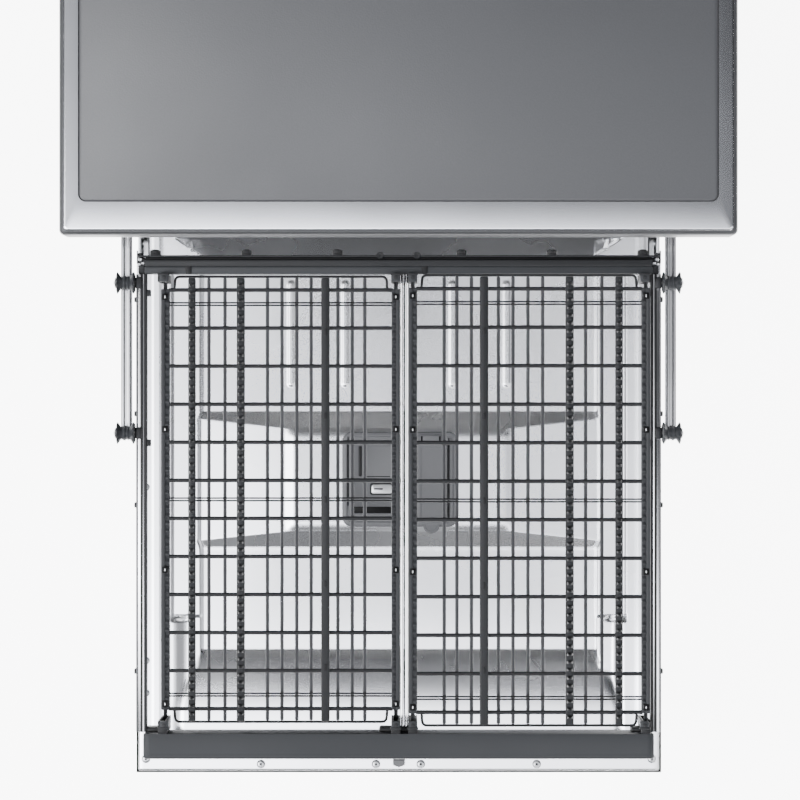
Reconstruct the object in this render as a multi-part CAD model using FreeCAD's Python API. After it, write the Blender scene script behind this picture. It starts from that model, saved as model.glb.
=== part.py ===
import FreeCAD, Part
import os

# Freestanding 60 cm dishwasher, door folded down, third rack pulled out.
# Frame: millimetres, +Z up, floor at z = 0, +X to the right, front faces -Y.

# ---- driving dimensions -------------------------------------------------
TOP_W = 598.0          # worktop width
TOP_D = 600.0          # worktop depth
TOP_T = 32.0           # worktop thickness
HEIGHT = 850.0         # floor to worktop
REAR_Y = 584.7         # worktop rear edge
FRONT_Y = REAR_Y - TOP_D
DOOR_END_Y = -584.7    # upper edge of the opened door
AX_Y = 18.7            # door hinge axis
AX_Z = 205.6
DOOR_HALF = 299.0
DOOR_Z0 = 173.6        # outer skin, underside when open
LINER_Z = 219.6        # liner flange plane when open
FASCIA_L = 114.7
TUB_HALF = 270.0
TUB_Y0 = 37.0
TUB_Y1 = 540.0
TUB_FLOOR = 205.0
TRACK_Z = 219.5
TUB_TOP = 782.0
SHEET = 1.2
BASE_TOP = 138.0
LEFT_Z = 735.0         # left cutlery tray, wire plane
RIGHT_Z = 760.0        # right cutlery tray, wire plane
ROLLER_Y = (-52.7, -190.8)
FIT = 0.05             # radial running clearance

os.makedirs("parts", exist_ok=True)
V = FreeCAD.Vector


def box(x0, x1, y0, y1, z0, z1):
    return Part.makeBox(x1 - x0, y1 - y0, z1 - z0, V(x0, y0, z0))


def cyl(p, d, r, h):
    return Part.makeCylinder(r, h, V(*p), V(*d))


def rod(a, b, r):
    a = V(*a)
    b = V(*b)
    d = b.sub(a)
    return Part.makeCylinder(r, d.Length, a, d)


def ring(p, d, ro, ri, h):
    return cyl(p, d, ro, h).cut(cyl(p, d, ri, h))


def prism_x(points, x0, x1):
    wire = Part.makePolygon([V(x0, y, z) for y, z in points + points[:1]])
    return Part.Face(wire).extrude(V(x1 - x0, 0, 0))


def prism_y(points, y0, y1):
    wire = Part.makePolygon([V(x, y0, z) for x, z in points + points[:1]])
    return Part.Face(wire).extrude(V(0, y1 - y0, 0))


def prism_z(points, z0, z1):
    wire = Part.makePolygon([V(x, y, z0) for x, y in points + points[:1]])
    return Part.Face(wire).extrude(V(0, 0, z1 - z0))


def rounded(x0, x1, y0, y1, z0, z1, r):
    body = box(x0, x1, y0, y1, z0, z1)
    edges = []
    for e in body.Edges:
        if abs(e.tangentAt(e.FirstParameter).z) > 0.9:
            edges.append(e)
    return body.makeFillet(r, edges)


def mirror(shapes):
    return [s.mirror(V(0, 0, 0), V(1, 0, 0)) for s in shapes]


def save(name, shapes):
    if not isinstance(shapes, list):
        shapes = [shapes]
    solids = []
    for s in shapes:
        solids.extend(s.Solids)
    for s in solids:
        if not s.isValid() or s.Volume <= 0:
            raise ValueError(name + " has a bad solid")
    out = solids[0] if len(solids) == 1 else Part.makeCompound(solids)
    out.exportStep("parts/" + name + ".step")


# ---- cabinet --------------------------------------------------------------
def cabinet():
    w = TOP_W / 2
    z0 = HEIGHT - TOP_T
    frame = rounded(-w, w, FRONT_Y, REAR_Y, z0, HEIGHT, 8.0)
    frame = frame.cut(box(-262, 262, FRONT_Y + 46, REAR_Y - 46, z0 - 1, HEIGHT + 1))
    pocket = rounded(-282.0, 282.0, FRONT_Y + 29.5, REAR_Y - 23.5, HEIGHT - 14, HEIGHT + 1, 7.0)
    save("worktop_frame", frame.cut(pocket))
    panel = rounded(-281.4, 281.4, FRONT_Y + 30.1, REAR_Y - 24.1, HEIGHT - 14, HEIGHT - 0.4, 6.4)
    save("worktop_panel", panel)

    side = [
        box(297.4, 298.6, 86, 575, BASE_TOP, 222),
        box(297.4, 298.6, 36, 575, 222, z0),
        box(283, 297.4, 564, 565.2, BASE_TOP, z0),
    ]
    save("side_panels", side + mirror(side))
    save("rear_panel", box(-297, 297, 573.4, 574.6, BASE_TOP, z0))

    base = [
        box(-297, 297, 62, 572, 25, 28),
        box(-297, 297, 569, 572, 28, BASE_TOP),
    ]
    wall = [box(294, 297, 62, 569, 28, BASE_TOP)]
    bracket = prism_x(
        [(6.7, 190), (110, 190), (110, 226), (6.7, 226)], 293.0, 296.4
    )
    bracket = bracket.cut(cyl((292, AX_Y, AX_Z), (1, 0, 0), 5 + FIT, 6))
    stem = [box(293.0, 296.4, 88, 110, BASE_TOP, 190)]
    # a steel weight in the rear keeps the cabinet upright with everything out
    weight = [box(-180, 180, 500, 560, 28, 58)]
    tray = base + wall + mirror(wall) + weight
    tray += [bracket] + stem + mirror([bracket] + stem)
    save("base_tray", tray)
    save("plinth", rounded(-297, 297, 46, 49, 16, 136, 1.0))

    feet = []
    for x in (-262, 262):
        for y in (84, 545):
            feet.append(cyl((x, y, 0), (0, 0, 1), 20, 8))
            feet.append(cyl((x, y, 8), (0, 0, 1), 6, 17))
    save("levelling_feet", feet)


# ---- tub --------------------------------------------------------------------
def tub():
    t = SHEET
    h = TUB_HALF
    s = []
    side = [
        box(h, h + t, TUB_Y0, TUB_Y1, TUB_FLOOR, TUB_TOP),
        box(h + t, 296, TUB_Y0, TUB_Y0 + t, 230, 817),
        box(246, h, TUB_Y0 + 2, TUB_Y1, TRACK_Z - t, TRACK_Z),
        box(246, 246 + t, TUB_Y0 + 2, TUB_Y1, TUB_FLOOR, TRACK_Z - t),
    ]
    s += side + mirror(side)
    s.append(box(-h - t, h + t, TUB_Y0, TUB_Y1, TUB_TOP, TUB_TOP + t))
    s.append(box(-h - t, h + t, TUB_Y1, TUB_Y1 + t, TUB_FLOOR, TUB_TOP + t))
    band = [box(9, h + t, TUB_Y0, TUB_Y0 + t, TUB_TOP + t, 817)]
    s += band + mirror(band)
    s.append(box(-9, 9, TUB_Y0, TUB_Y0 + t, TUB_TOP + t, 790.5))
    s.append(box(-9, 9, TUB_Y0, TUB_Y0 + t, 804, 817))
    # floor with the sump opening and the softener neck
    floor = box(-h, h, TUB_Y0 + 2, TUB_Y1, TUB_FLOOR - t, TUB_FLOOR)
    floor = floor.cut(cyl((0, 285, 200), (0, 0, 1), 92.0, 10))
    floor = floor.cut(cyl((-150, 410, 200), (0, 0, 1), 30.4, 10))
    s.append(floor)
    s.append(box(-h, h, TUB_Y0 + 0.8, TUB_Y0 + 2, 200, TUB_FLOOR + 10))
    save("tub", s)

    seal = [box(271.4, 279, 33.0, 36.9, 232, 781.8)]
    seal = seal + mirror(seal)
    seal.append(box(-279, 279, 33.0, 36.9, 782, 789.6))
    save("tub_seal", seal)

    # sump bowl under the floor
    bowl = cyl((0, 285, 112), (0, 0, 1), 91.6, 92.6)
    bowl = bowl.cut(cyl((0, 285, 116), (0, 0, 1), 87.6, 100))
    bowl = bowl.cut(cyl((0, 285, 201.2), (0, 0, 1), 89.8, 10))
    save("sump", bowl)
    plate = cyl((0, 285, 201.2), (0, 0, 1), 89.4, 3.0)
    plate = plate.cut(cyl((40, 250, 200), (0, 0, 1), 30.5, 10))
    hub = cyl((0, 285, 204.2), (0, 0, 1), 11, 32)
    hub = hub.fuse(cyl((0, 285, 236.2), (0, 0, 1), 8, 22))
    hub = hub.fuse(cyl((0, 285, 256.4), (0, 0, 1), 12, 2))
    save("filter_plate", plate.fuse(hub))
    cup = ring((40, 250, 125), (0, 0, 1), 30, 28, 79.5)
    cup = cup.fuse(cyl((40, 250, 123), (0, 0, 1), 30, 2))
    cup = cup.fuse(ring((40, 250, 204.5), (0, 0, 1), 33, 27, 4))
    grip = box(36, 44, 222, 278, 204.5, 216)
    grip = grip.cut(cyl((40, 250, 190), (0, 0, 1), 10, 40))
    cup = cup.fuse(grip)
    save("filter_cup", cup)

    arm = rounded(-222, 222, 262, 308, 240, 252, 22)
    arm = arm.fuse(cyl((0, 285, 238), (0, 0, 1), 30, 18))
    arm = arm.cut(cyl((0, 285, 230), (0, 0, 1), 8 + FIT, 40))
    for i in range(-4, 5):
        if i:
            slot = box(i * 45 - 8, i * 45 + 8, 283.5, 286.5, 248, 260)
            arm = arm.cut(slot)
    save("lower_spray_arm", arm)

    # feed riser on the rear wall, with the upper nozzle in the ceiling
    pipe = [
        box(-22, 22, 531, 539.9, 206, 770),
        box(-16, 16, 300, 531, 774, 781.9),
        box(-22, 22, 531, 539.9, 770, 781.9),
        cyl((0, 285, 771.5), (0, 0, 1), 32, 2.5),
        cyl((0, 285, 774), (0, 0, 1), 15, 7.9),
    ]
    pipe[1] = pipe[1].cut(pipe[4])
    pipe.append(cyl((0, 524.4, 466.5), (0, 1, 0), 13, 6.6))
    save("water_feed_pipe", pipe)

    pumps = [
        cyl((-20, 315, 70), (-1, 0, 0), 38, 120),
        cyl((-140, 315, 70), (-1, 0, 0), 28, 30),
        cyl((10, 315, 70), (-1, 0, 0), 41, 30),
        cyl((110, 315, 74), (1, 0, 0), 28, 55),
        box(60, 110, 295, 335, 54, 94),
    ]
    save("pumps", pumps)

    tank = box(-270, -90, 370, 480, 75, 195)
    neck = cyl((-150, 410, 195), (0, 0, 1), 30, 12)
    tank = tank.fuse(neck)
    tank = tank.cut(box(-266, -94, 374, 476, 79, 191))
    tank = tank.cut(cyl((-150, 410, 150), (0, 0, 1), 26, 90))
    save("salt_tank", tank)
    cap = cyl((-150, 410, 207.3), (0, 0, 1), 33, 9)
    cap = cap.fuse(cyl((-150, 410, 196), (0, 0, 1), 25.5, 11.3))
    cap = cap.fuse(box(-178, -122, 406, 414, 216.3, 226))
    save("salt_cap", cap)

    conn = [
        cyl((-240, 572, 80), (0, 1, 0), 13.2, 12),
        cyl((-240, 572, 80), (0, 1, 0), 18, 3),
        cyl((-190, 572, 80), (0, 1, 0), 10.0, 12),
        cyl((-190, 572, 80), (0, 1, 0), 15, 3),
    ]
    for i in (0, 2):
        bore = 8.0 if i == 0 else 7.0
        x = -240 if i == 0 else -190
        conn[i] = conn[i].cut(cyl((x, 560, 80), (0, 1, 0), bore, 40))
        conn[i + 1] = conn[i + 1].cut(cyl((x, 560, 80), (0, 1, 0), bore, 40))
    fused = [conn[0].fuse(conn[1]), conn[2].fuse(conn[3])]
    save("water_connections", fused)

    catch = box(-14, 14, 38.4, 58, 787, 806)
    catch = catch.cut(box(-8, 8, 38, 48, 791, 803.5))
    stay = box(-14, 14, 46, 58, 806, 817.8)
    save("door_catch", catch.fuse(stay))

    # cradles for the third rack's guide rails
    hold = []
    for y in (76, 239):
        cradle = prism_y(
            [(242.6, 722), (270, 722), (270, 731), (262, 731), (262, 740), (256.8, 740),
             (256.8, 731.4), (246.3, 731.4), (246.3, 735.5), (251.5, 735.5), (251.5, 740.5),
             (242.6, 740.5)],
            y, y + 16,
        )
        hold.append(cradle)
    save("rail_holders", hold + mirror(hold))
    rails = [
        box(268.4, 270, 60, 520, 540, 562),
        box(256, 268.4, 60, 520, 540, 541.6),
        box(256, 268.4, 60, 520, 560.4, 562),
    ]
    save("upper_rack_rails", rails + mirror(rails))


# ---- door ---------------------------------------------------------------------
def door():
    e = DOOR_END_Y
    w = DOOR_HALF
    fy = e + FASCIA_L
    outer = [
        box(-w, w, fy, 73.7, DOOR_Z0, DOOR_Z0 + 1.2),
    ]
    ret = [box(w - 1.2, w, fy, 10, DOOR_Z0 + 1.2, 217.8)]
    save("door_outer_panel", outer + ret + mirror(ret))

    fascia = box(-w, w, e, fy - 0.2, DOOR_Z0, 218.2)
    fascia = fascia.cut(box(-w + 3, w - 3, e + 3, fy, DOOR_Z0 + 3, 219))
    for x, half in ((-250, 9), (250, 9)):
        fascia = fascia.cut(rounded(x - half - 0.5, x + half + 0.5, -549.5, -530.5, 170, 180, 3))
    save("control_fascia", fascia)
    for name, x in (("power_button", -250), ("start_button", 250)):
        b = rounded(x - 9, x + 9, -549, -531, 173.0, 180, 3)
        b = b.fuse(rounded(x - 12, x + 12, -552, -528, 176.6, 178.8, 3))
        save(name, b)

    # pressed liner: flanges, a recess, a drain lip, ribs and two bands
    t = SHEET
    z1 = LINER_Z
    z0 = z1 - t
    fz = 202.1
    mz = fz + 6.8
    s = []
    flank = [
        box(225.8, 298.6, e + 0.6, -5, z0, z1),
        box(225.8, 284, -5, 25, z0, z1),
        box(224.6, 225.8, -448, 5, fz, z1),
        prism_z([(224.6, -449.2), (246, -516), (247.2, -516), (225.8, -449.2)], z0, z1),
    ]
    s += flank[:3] + mirror(flank[:3])
    s.append(box(-225.8, 225.8, e + 0.6, -448, z0, z1))
    s.append(box(-224.6, 224.6, -449.2 + t, -448 + t, fz, z0))
    # floor, raised between the two bands and open around the dispenser
    s.append(box(-224.6, 224.6, -446.8, -310.5, fz - t, fz))
    s.append(box(-224.6, 224.6, -192.5, 5, fz - t, fz))
    s.append(box(-224.6, -65.0, -305.4, -196.6, mz - t, mz))
    s.append(box(67.9, 224.6, -305.4, -196.6, mz - t, mz))
    s.append(box(-224.6, 224.6, -310.5, -305.4, mz - t, mz))
    s.append(box(-224.6, 224.6, -196.6, -192.5, mz - t, mz))
    # drain lip
    lip = prism_x([(5, fz - t), (25, z0), (25, z1), (5, fz)], -224.6, 224.6)
    s.append(lip)
    # embossed capsule ribs
    for x in (-123.5, -61.5, 61.5, 123.5):
        s.append(rounded(x - 4.5, x + 4.5, -145.6, -23.7, fz, fz + 3, 4.4))
    # bands: the steps up to the raised middle
    for k in (1, -1):
        s.append(prism_z([(-127 * k, -192.5), (-127 * k, -174), (-224.6 * k, -174), (-224.6 * k, -182)], fz, mz))
        s.append(prism_z([(-127 * k, -192.5), (-224.6 * k, -182), (-224.6 * k, -192.5)], mz - t, mz))
        s.append(prism_z([(-127 * k, -310.5), (-127 * k, -328.8), (-224.6 * k, -328.8), (-224.6 * k, -322.7)], fz, mz))
        s.append(prism_z([(-127 * k, -310.5), (-224.6 * k, -322.7), (-224.6 * k, -310.5)], mz - t, mz))
    s.append(box(-127, 127, -192.5, -174, fz, mz))
    s.append(box(-127, 127, -328.8, -310.5, fz, mz))
    save("door_inner_liner", s)

    screws = []
    for x in (-157, -26, 25, 157):
        screws.append((x, -575))
    for k in (-1, 1):
        for y in (-569, -494, -457, -259.5):
            screws.append((288 * k, y))
    save("liner_screws", [cyl((x, y, z1), (0, 0, 1), 4.0, 2.2) for x, y in screws])

    # latch hook
    hook = prism_x([(-578, z1), (-568.5, z1), (-568.5, z1 + 11), (-574, z1 + 11), (-574, z1 + 8), (-578, z1 + 8)], -6.5, 6.5)
    save("door_hook", hook)

    arm = box(286, 291, -140, AX_Y, AX_Z - 9, AX_Z + 9)
    arm = arm.fuse(cyl((286, AX_Y, AX_Z), (1, 0, 0), 9, 5))
    arm = arm.fuse(cyl((291, AX_Y, AX_Z), (1, 0, 0), 5, 6))
    save("hinge_arms", [arm] + mirror([arm]))

    # dispenser: housing, sliding detergent lid, sprung latch, rinse-aid flap
    d = rounded(-64.6, 67.5, -305.0, -197.0, 178, 214.8, 11)
    d = d.cut(rounded(-53, -4, -284, -214, 184, 220, 6))
    d = d.cut(rounded(24, 52, -296, -216, 184, 220, 6))
    d = d.fuse(box(31.5, 41.5, -207.6, -204.4, 214.8, 218.9))
    d = d.fuse(cyl((21.5, -206, 217.1), (1, 0, 0), 0.8, 30))
    save("dispenser_body", d)
    lid = rounded(-57, 0, -290, -209, 215.0, 219.0, 5)
    lid = lid.cut(box(-31.5, -7.5, -267.5, -256.1, 216.6, 220))
    lid = lid.cut(box(-51, -9, -289, -282, 217.4, 220))
    lid = lid.fuse(box(-46, -42, -248, -212, 219.0, 221.5))
    save("detergent_lid", lid)
    save("lid_latch", rounded(-31, -8, -267, -256.6, 218.2, 220.8, 2))
    flap = rounded(21, 55, -303, -209.5, 215.6, 218.6, 4)
    flap = flap.fuse(cyl((37, -303, 215.6), (0, 0, 1), 9.5, 3.0))
    for x0 in (22.5, 42.5):
        flap = flap.fuse(box(x0, x0 + 8, -214.5, -206, 215.6, 218.6))
        flap = flap.fuse(cyl((x0, -206, 217.1), (1, 0, 0), 1.5, 8))
    flap = flap.cut(cyl((20, -206, 217.1), (1, 0, 0), 0.8 + FIT, 40))
    save("rinse_aid_flap", flap)


# ---- third rack -----------------------------------------------------------------
def tray(prefix, wz, x_out, x_in):
    """Cutlery tray. x runs from the outer rod (x_out) to the inner rod (x_in)."""
    y0 = -446.5
    y1 = -58.5
    rr = 3.8
    rz = wz
    d = 1 if x_in > x_out else -1
    wires = []
    for x in (x_out, x_in):
        wires.append(box(x - rr, x + rr, y0 - 1, y1 + 1, rz - rr, rz + rr))
        wires.append(rod((x, y1 + 1, rz), (x, -47.5, rz), 1.85))
        wires.append(rod((x, y0 - 1, rz), (x, -463, rz), 1.85))
    a = min(x_out, x_in) + rr
    b = max(x_out, x_in) - rr
    pitch = (y1 - y0) / 11.0
    rows = [y1 - i * pitch for i in range(12)]
    for y in rows:
        wires.append(rod((a + 0.02, y, rz), (b - 0.02, y, rz), 1.75))
    mid = (y0 + y1) / 2
    for y in (mid - 181, mid, mid + 181):
        wires.append(rod((a + 0.02, y, rz), (b - 0.02, y, rz), 1.25))
    lz = rz - 1.75 - 1.37
    for off in (40, 54.9, 94.3, 107.7, 121.5, 134.8, 159.6, 173, 184.6):
        x = x_out + d * off
        wires.append(rod((x, y0 - 10, lz), (x, y1 + 10, lz), 1.35))
    # end loops
    for y in (y1 + 12.5, y0 - 12.5):
        inner = y - 1.35 - 1.25 if y > mid else y + 1.35 + 1.25
        wires.append(rod((a + 5, y, lz), (b - 5, y, lz), 1.25))
        for x in (a + 5, b - 5):
            side = y - 1.3 if y > mid else y + 1.3
            stop = y1 + 1.8 if y > mid else y0 - 1.8
            wires.append(rod((x, side, lz), (x, stop, lz), 1.25))
    save(prefix + "_tray_wires", wires)
    combs = []
    x = x_out + d * 148.3
    combs.append(box(x - 3.95, x + 3.95, y0 - 8, y1 + 8, rz + 1.8, rz + 5.6))
    for off, cw in ((24.8, 7.0), (70.0, 7.6)):
        x = x_out + d * off
        combs.append(box(x - cw / 2, x + cw / 2, y0 - 8, y1 + 8, rz + 1.8, rz + 5.0))
        n = 56
        for i in range(n):
            y = y0 - 4 + (y1 - y0 + 8) * i / (n - 1.0)
            combs.append(box(x - cw / 2 + 1, x + cw / 2 - 1, y - 1.5, y + 1.5, rz + 5.0, rz + 11.0))
    save(prefix + "_tray_combs", combs)


def third_rack():
    # side rails with roller axles
    rails = []
    for sgn in (1,):
        rails.append(box(231.9, 241.6, -466, -44.6, 740, 752))
        for y in (-68, -173, -257, -410):
            rails.append(box(241.6, 243.4, y - 2.5, y + 2.5, 744, 749))
        for y in ROLLER_Y:
            rails.append(box(231.9, 241.6, y - 8, y + 8, 752, 762))
            rails.append(cyl((241.6, y, 752.5), (1, 0, 0), 2.5, 20.4))
    save("rack_side_rails", rails + mirror(rails))
    for side, k in (("left", -1), ("right", 1)):
        for pos, y in (("rear", ROLLER_Y[0]), ("front", ROLLER_Y[1])):
            x0 = 242.2
            core = cyl((246.7, y, 752.5), (1, 0, 0), 7.3, 9.6)
            f1 = cyl((242.2, y, 752.5), (1, 0, 0), 10, 4.5)
            f2 = cyl((256.3, y, 752.5), (1, 0, 0), 10, 4.5)
            r = core.fuse(f1).fuse(f2)
            r = r.cut(cyl((240, y, 752.5), (1, 0, 0), 2.5 + FIT, 30))
            if k < 0:
                r = mirror([r])[0]
            save(side + "_" + pos + "_roller", r)
        rail = prism_y(
            [(247, 732), (256, 732), (256, 745.1), (247, 745.1), (247, 743.7), (254.6, 743.7),
             (254.6, 733.4), (247, 733.4)],
            -197, 262,
        )
        if k < 0:
            rail = mirror([rail])[0]
        save(side + "_guide_rail", rail)

    rear = [
        box(-233, 233, -44.6, -27, 738, 757),
        box(-240, -233, -44.6, -29, 740, 754),
        box(233, 240, -44.6, -29, 740, 754),
    ]
    for x in (-224, -140, -56, 58, 141, 225):
        rear.append(box(x - 4.5, x + 4.5, -27, -22.5, 742, 752))
    save("rear_bar", rear)
    handle = [
        rounded(-235.5, 235.5, -490, -466, 732, 760, 3),
    ]
    save("handle_bar", handle)
    rods = [rod((x, -466, 745), (x, -44.6, 745), 1.3) for x in (3.2, 7.2)]
    save("centre_rods", rods)

    # slotted posts that carry the tray necks
    posts = []
    for x in (-216, -2.5, 13.0, 226.5):
        for y0, y1 in ((-52.6, -44.6), (-466, -458)):
            for a, b in ((x - 4.2, x - 2.2), (x + 2.2, x + 4.2)):
                posts.append(box(a, b, y0, y1, 729, 768))
            posts.append(box(x - 4.2, x + 4.2, y0, y1, 725, 729))
            posts.append(box(x - 4.2, x + 4.2, y0, y1, 768, 770))
    save("tray_posts", posts)
    tray("left", LEFT_Z, -216.0, -2.5)
    tray("right", RIGHT_Z, 226.5, 13.0)


# ---- upper and lower racks -----------------------------------------------------
def basket(x1, y0, y1, z0, z1, nx, ny, r_rim, r_wire):
    """Open wire basket: two rims, floor wires both ways and upright wires."""
    s = []
    for z in (z1, (z0 + z1) / 2):
        for y in (y0, y1):
            s.append(rod((-x1 + r_rim, y, z), (x1 - r_rim, y, z), r_rim))
        for x in (-x1, x1):
            s.append(rod((x, y0 - r_rim, z), (x, y1 + r_rim, z), r_rim))
    off = r_rim + r_wire + 0.02
    zf = z0
    for i in range(nx):
        x = -x1 + 24 + (2 * x1 - 48) * i / (nx - 1.0)
        s.append(rod((x, y0 + off, zf), (x, y1 - off, zf), r_wire))
        for y in (y0 + off, y1 - off):
            q = y + (r_wire if y < y1 - off else -r_wire)
            s.append(rod((x, y, zf + r_wire + 0.02), (x, y, z1 + 2), r_wire))
    zc = zf - 2 * r_wire - 0.02
    for j in range(ny):
        y = y0 + 24 + (y1 - y0 - 48) * j / (ny - 1.0)
        s.append(rod((-x1 + off, y, zc), (x1 - off, y, zc), r_wire))
        for x in (-x1 + off, x1 - off):
            s.append(rod((x, y, zc + r_wire + 0.02), (x, y, z1 + 2), r_wire))
    return s


def racks():
    # upper rack, runners and feed
    up = basket(240, 56, 515, 480, 590, 11, 12, 2.6, 1.9)
    side = [box(242.6, 245, 62, 500, 532, 558), box(245, 256, 62, 500, 546, 556)]
    up += side + mirror(side)
    feed = box(-9, 9, 285, 523, 461, 472)
    head = cyl((0, 285, 459.5), (0, 0, 1), 15, 13.5)
    hub = cyl((0, 285, 447), (0, 0, 1), 7, 14)
    nut = cyl((0, 285, 445), (0, 0, 1), 11, 3.6)
    feed = head.fuse(feed).fuse(hub).fuse(nut)
    up.append(feed)
    save("upper_rack_basket", up)
    arm = rounded(-145, 145, 267, 303, 449, 458, 17)
    arm = arm.cut(cyl((0, 285, 440), (0, 0, 1), 7 + FIT, 40))
    for i in range(-3, 4):
        if i:
            arm = arm.cut(box(i * 38 - 6, i * 38 + 6, 283.8, 286.2, 455, 460))
    save("middle_spray_arm", arm)
    shelf = [
        rod((-230, 120, 566), (-230, 450, 566), 2.2),
        rod((-150, 120, 566), (-150, 450, 566), 2.2),
    ]
    for i in range(12):
        y = 123 + i * 324 / 11.0
        shelf.append(rod((-227.7, y, 566), (-152.3, y, 566), 1.6))
    save("cup_shelf", shelf)
    for name, k in (("left_telescopic_rail", -1), ("right_telescopic_rail", 1)):
        t = prism_y(
            [(250.4, 542.2), (262.2, 542.2), (262.2, 559.6), (250.4, 559.6), (250.4, 558),
             (260.6, 558), (260.6, 543.8), (250.4, 543.8)],
            62, 500,
        )
        if k < 0:
            t = mirror([t])[0]
        save(name, t)

    # lower rack, wheels and folding tines
    low = basket(246, 56, 516, 272, 400, 12, 12, 2.9, 2.2)
    for k in (-1, 1):
        for y in (110, 462):
            low.append(box(248.9 if k > 0 else -251.9, 251.9 if k > 0 else -248.9, y - 9, y + 9, 230, 340))
            low.append(rod((251.9 * k, y, 238.7), (266 * k, y, 238.7), 3.0))
    for x in (60.0, 150.0):
        for i in range(12):
            y = 110 + i * 350 / 11.0
            low.append(rod((x, y, 274.3), (x, y, 360), 2.0))
    save("lower_rack_basket", low)
    for side, k in (("left", -1), ("right", 1)):
        for pos, y in (("front", 110), ("rear", 462)):
            w = cyl((253.2, y, 238.7), (1, 0, 0), 19, 9)
            w = w.cut(cyl((250, y, 238.7), (1, 0, 0), 3 + FIT, 20))
            w = w.cut(ring((259.2, y, 238.7), (1, 0, 0), 15.5, 6.5, 5))
            if k < 0:
                w = mirror([w])[0]
            save(side + "_" + pos + "_wheel", w)
    tines = []
    x = -150.0
    tines.append(rod((x, 100, 279.5), (x, 470, 279.5), 2.5))
    for i in range(12):
        y = 110 + i * 350 / 11.0
        tines.append(rod((x, y, 282.0), (x, y, 360), 2.0))
    save("lower_rack_tines", tines)


cabinet()
tub()
door()
third_rack()
racks()
print(len(os.listdir("parts")), "parts")
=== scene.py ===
import bpy
import math
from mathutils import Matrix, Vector


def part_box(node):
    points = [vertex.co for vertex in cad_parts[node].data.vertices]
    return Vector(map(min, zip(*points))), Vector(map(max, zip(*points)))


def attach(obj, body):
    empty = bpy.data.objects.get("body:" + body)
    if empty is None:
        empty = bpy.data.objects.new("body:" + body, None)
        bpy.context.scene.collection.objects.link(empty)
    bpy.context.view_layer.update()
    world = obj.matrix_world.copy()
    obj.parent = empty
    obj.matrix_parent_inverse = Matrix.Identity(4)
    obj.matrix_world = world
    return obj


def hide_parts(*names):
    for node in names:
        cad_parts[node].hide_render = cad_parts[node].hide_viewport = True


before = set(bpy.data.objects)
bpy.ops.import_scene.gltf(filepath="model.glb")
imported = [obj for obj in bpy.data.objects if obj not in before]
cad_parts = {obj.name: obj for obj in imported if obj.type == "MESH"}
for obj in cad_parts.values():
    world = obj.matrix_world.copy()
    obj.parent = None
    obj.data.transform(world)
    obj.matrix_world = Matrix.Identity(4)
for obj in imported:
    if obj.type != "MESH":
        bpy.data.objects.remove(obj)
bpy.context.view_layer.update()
MM = 0.001


# ---------------------------------------------------------------- materials
def nodes_of(name):
    m = bpy.data.materials.new(name)
    m.use_nodes = True
    nt = m.node_tree
    return m, nt, nt.nodes["Principled BSDF"]


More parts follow.
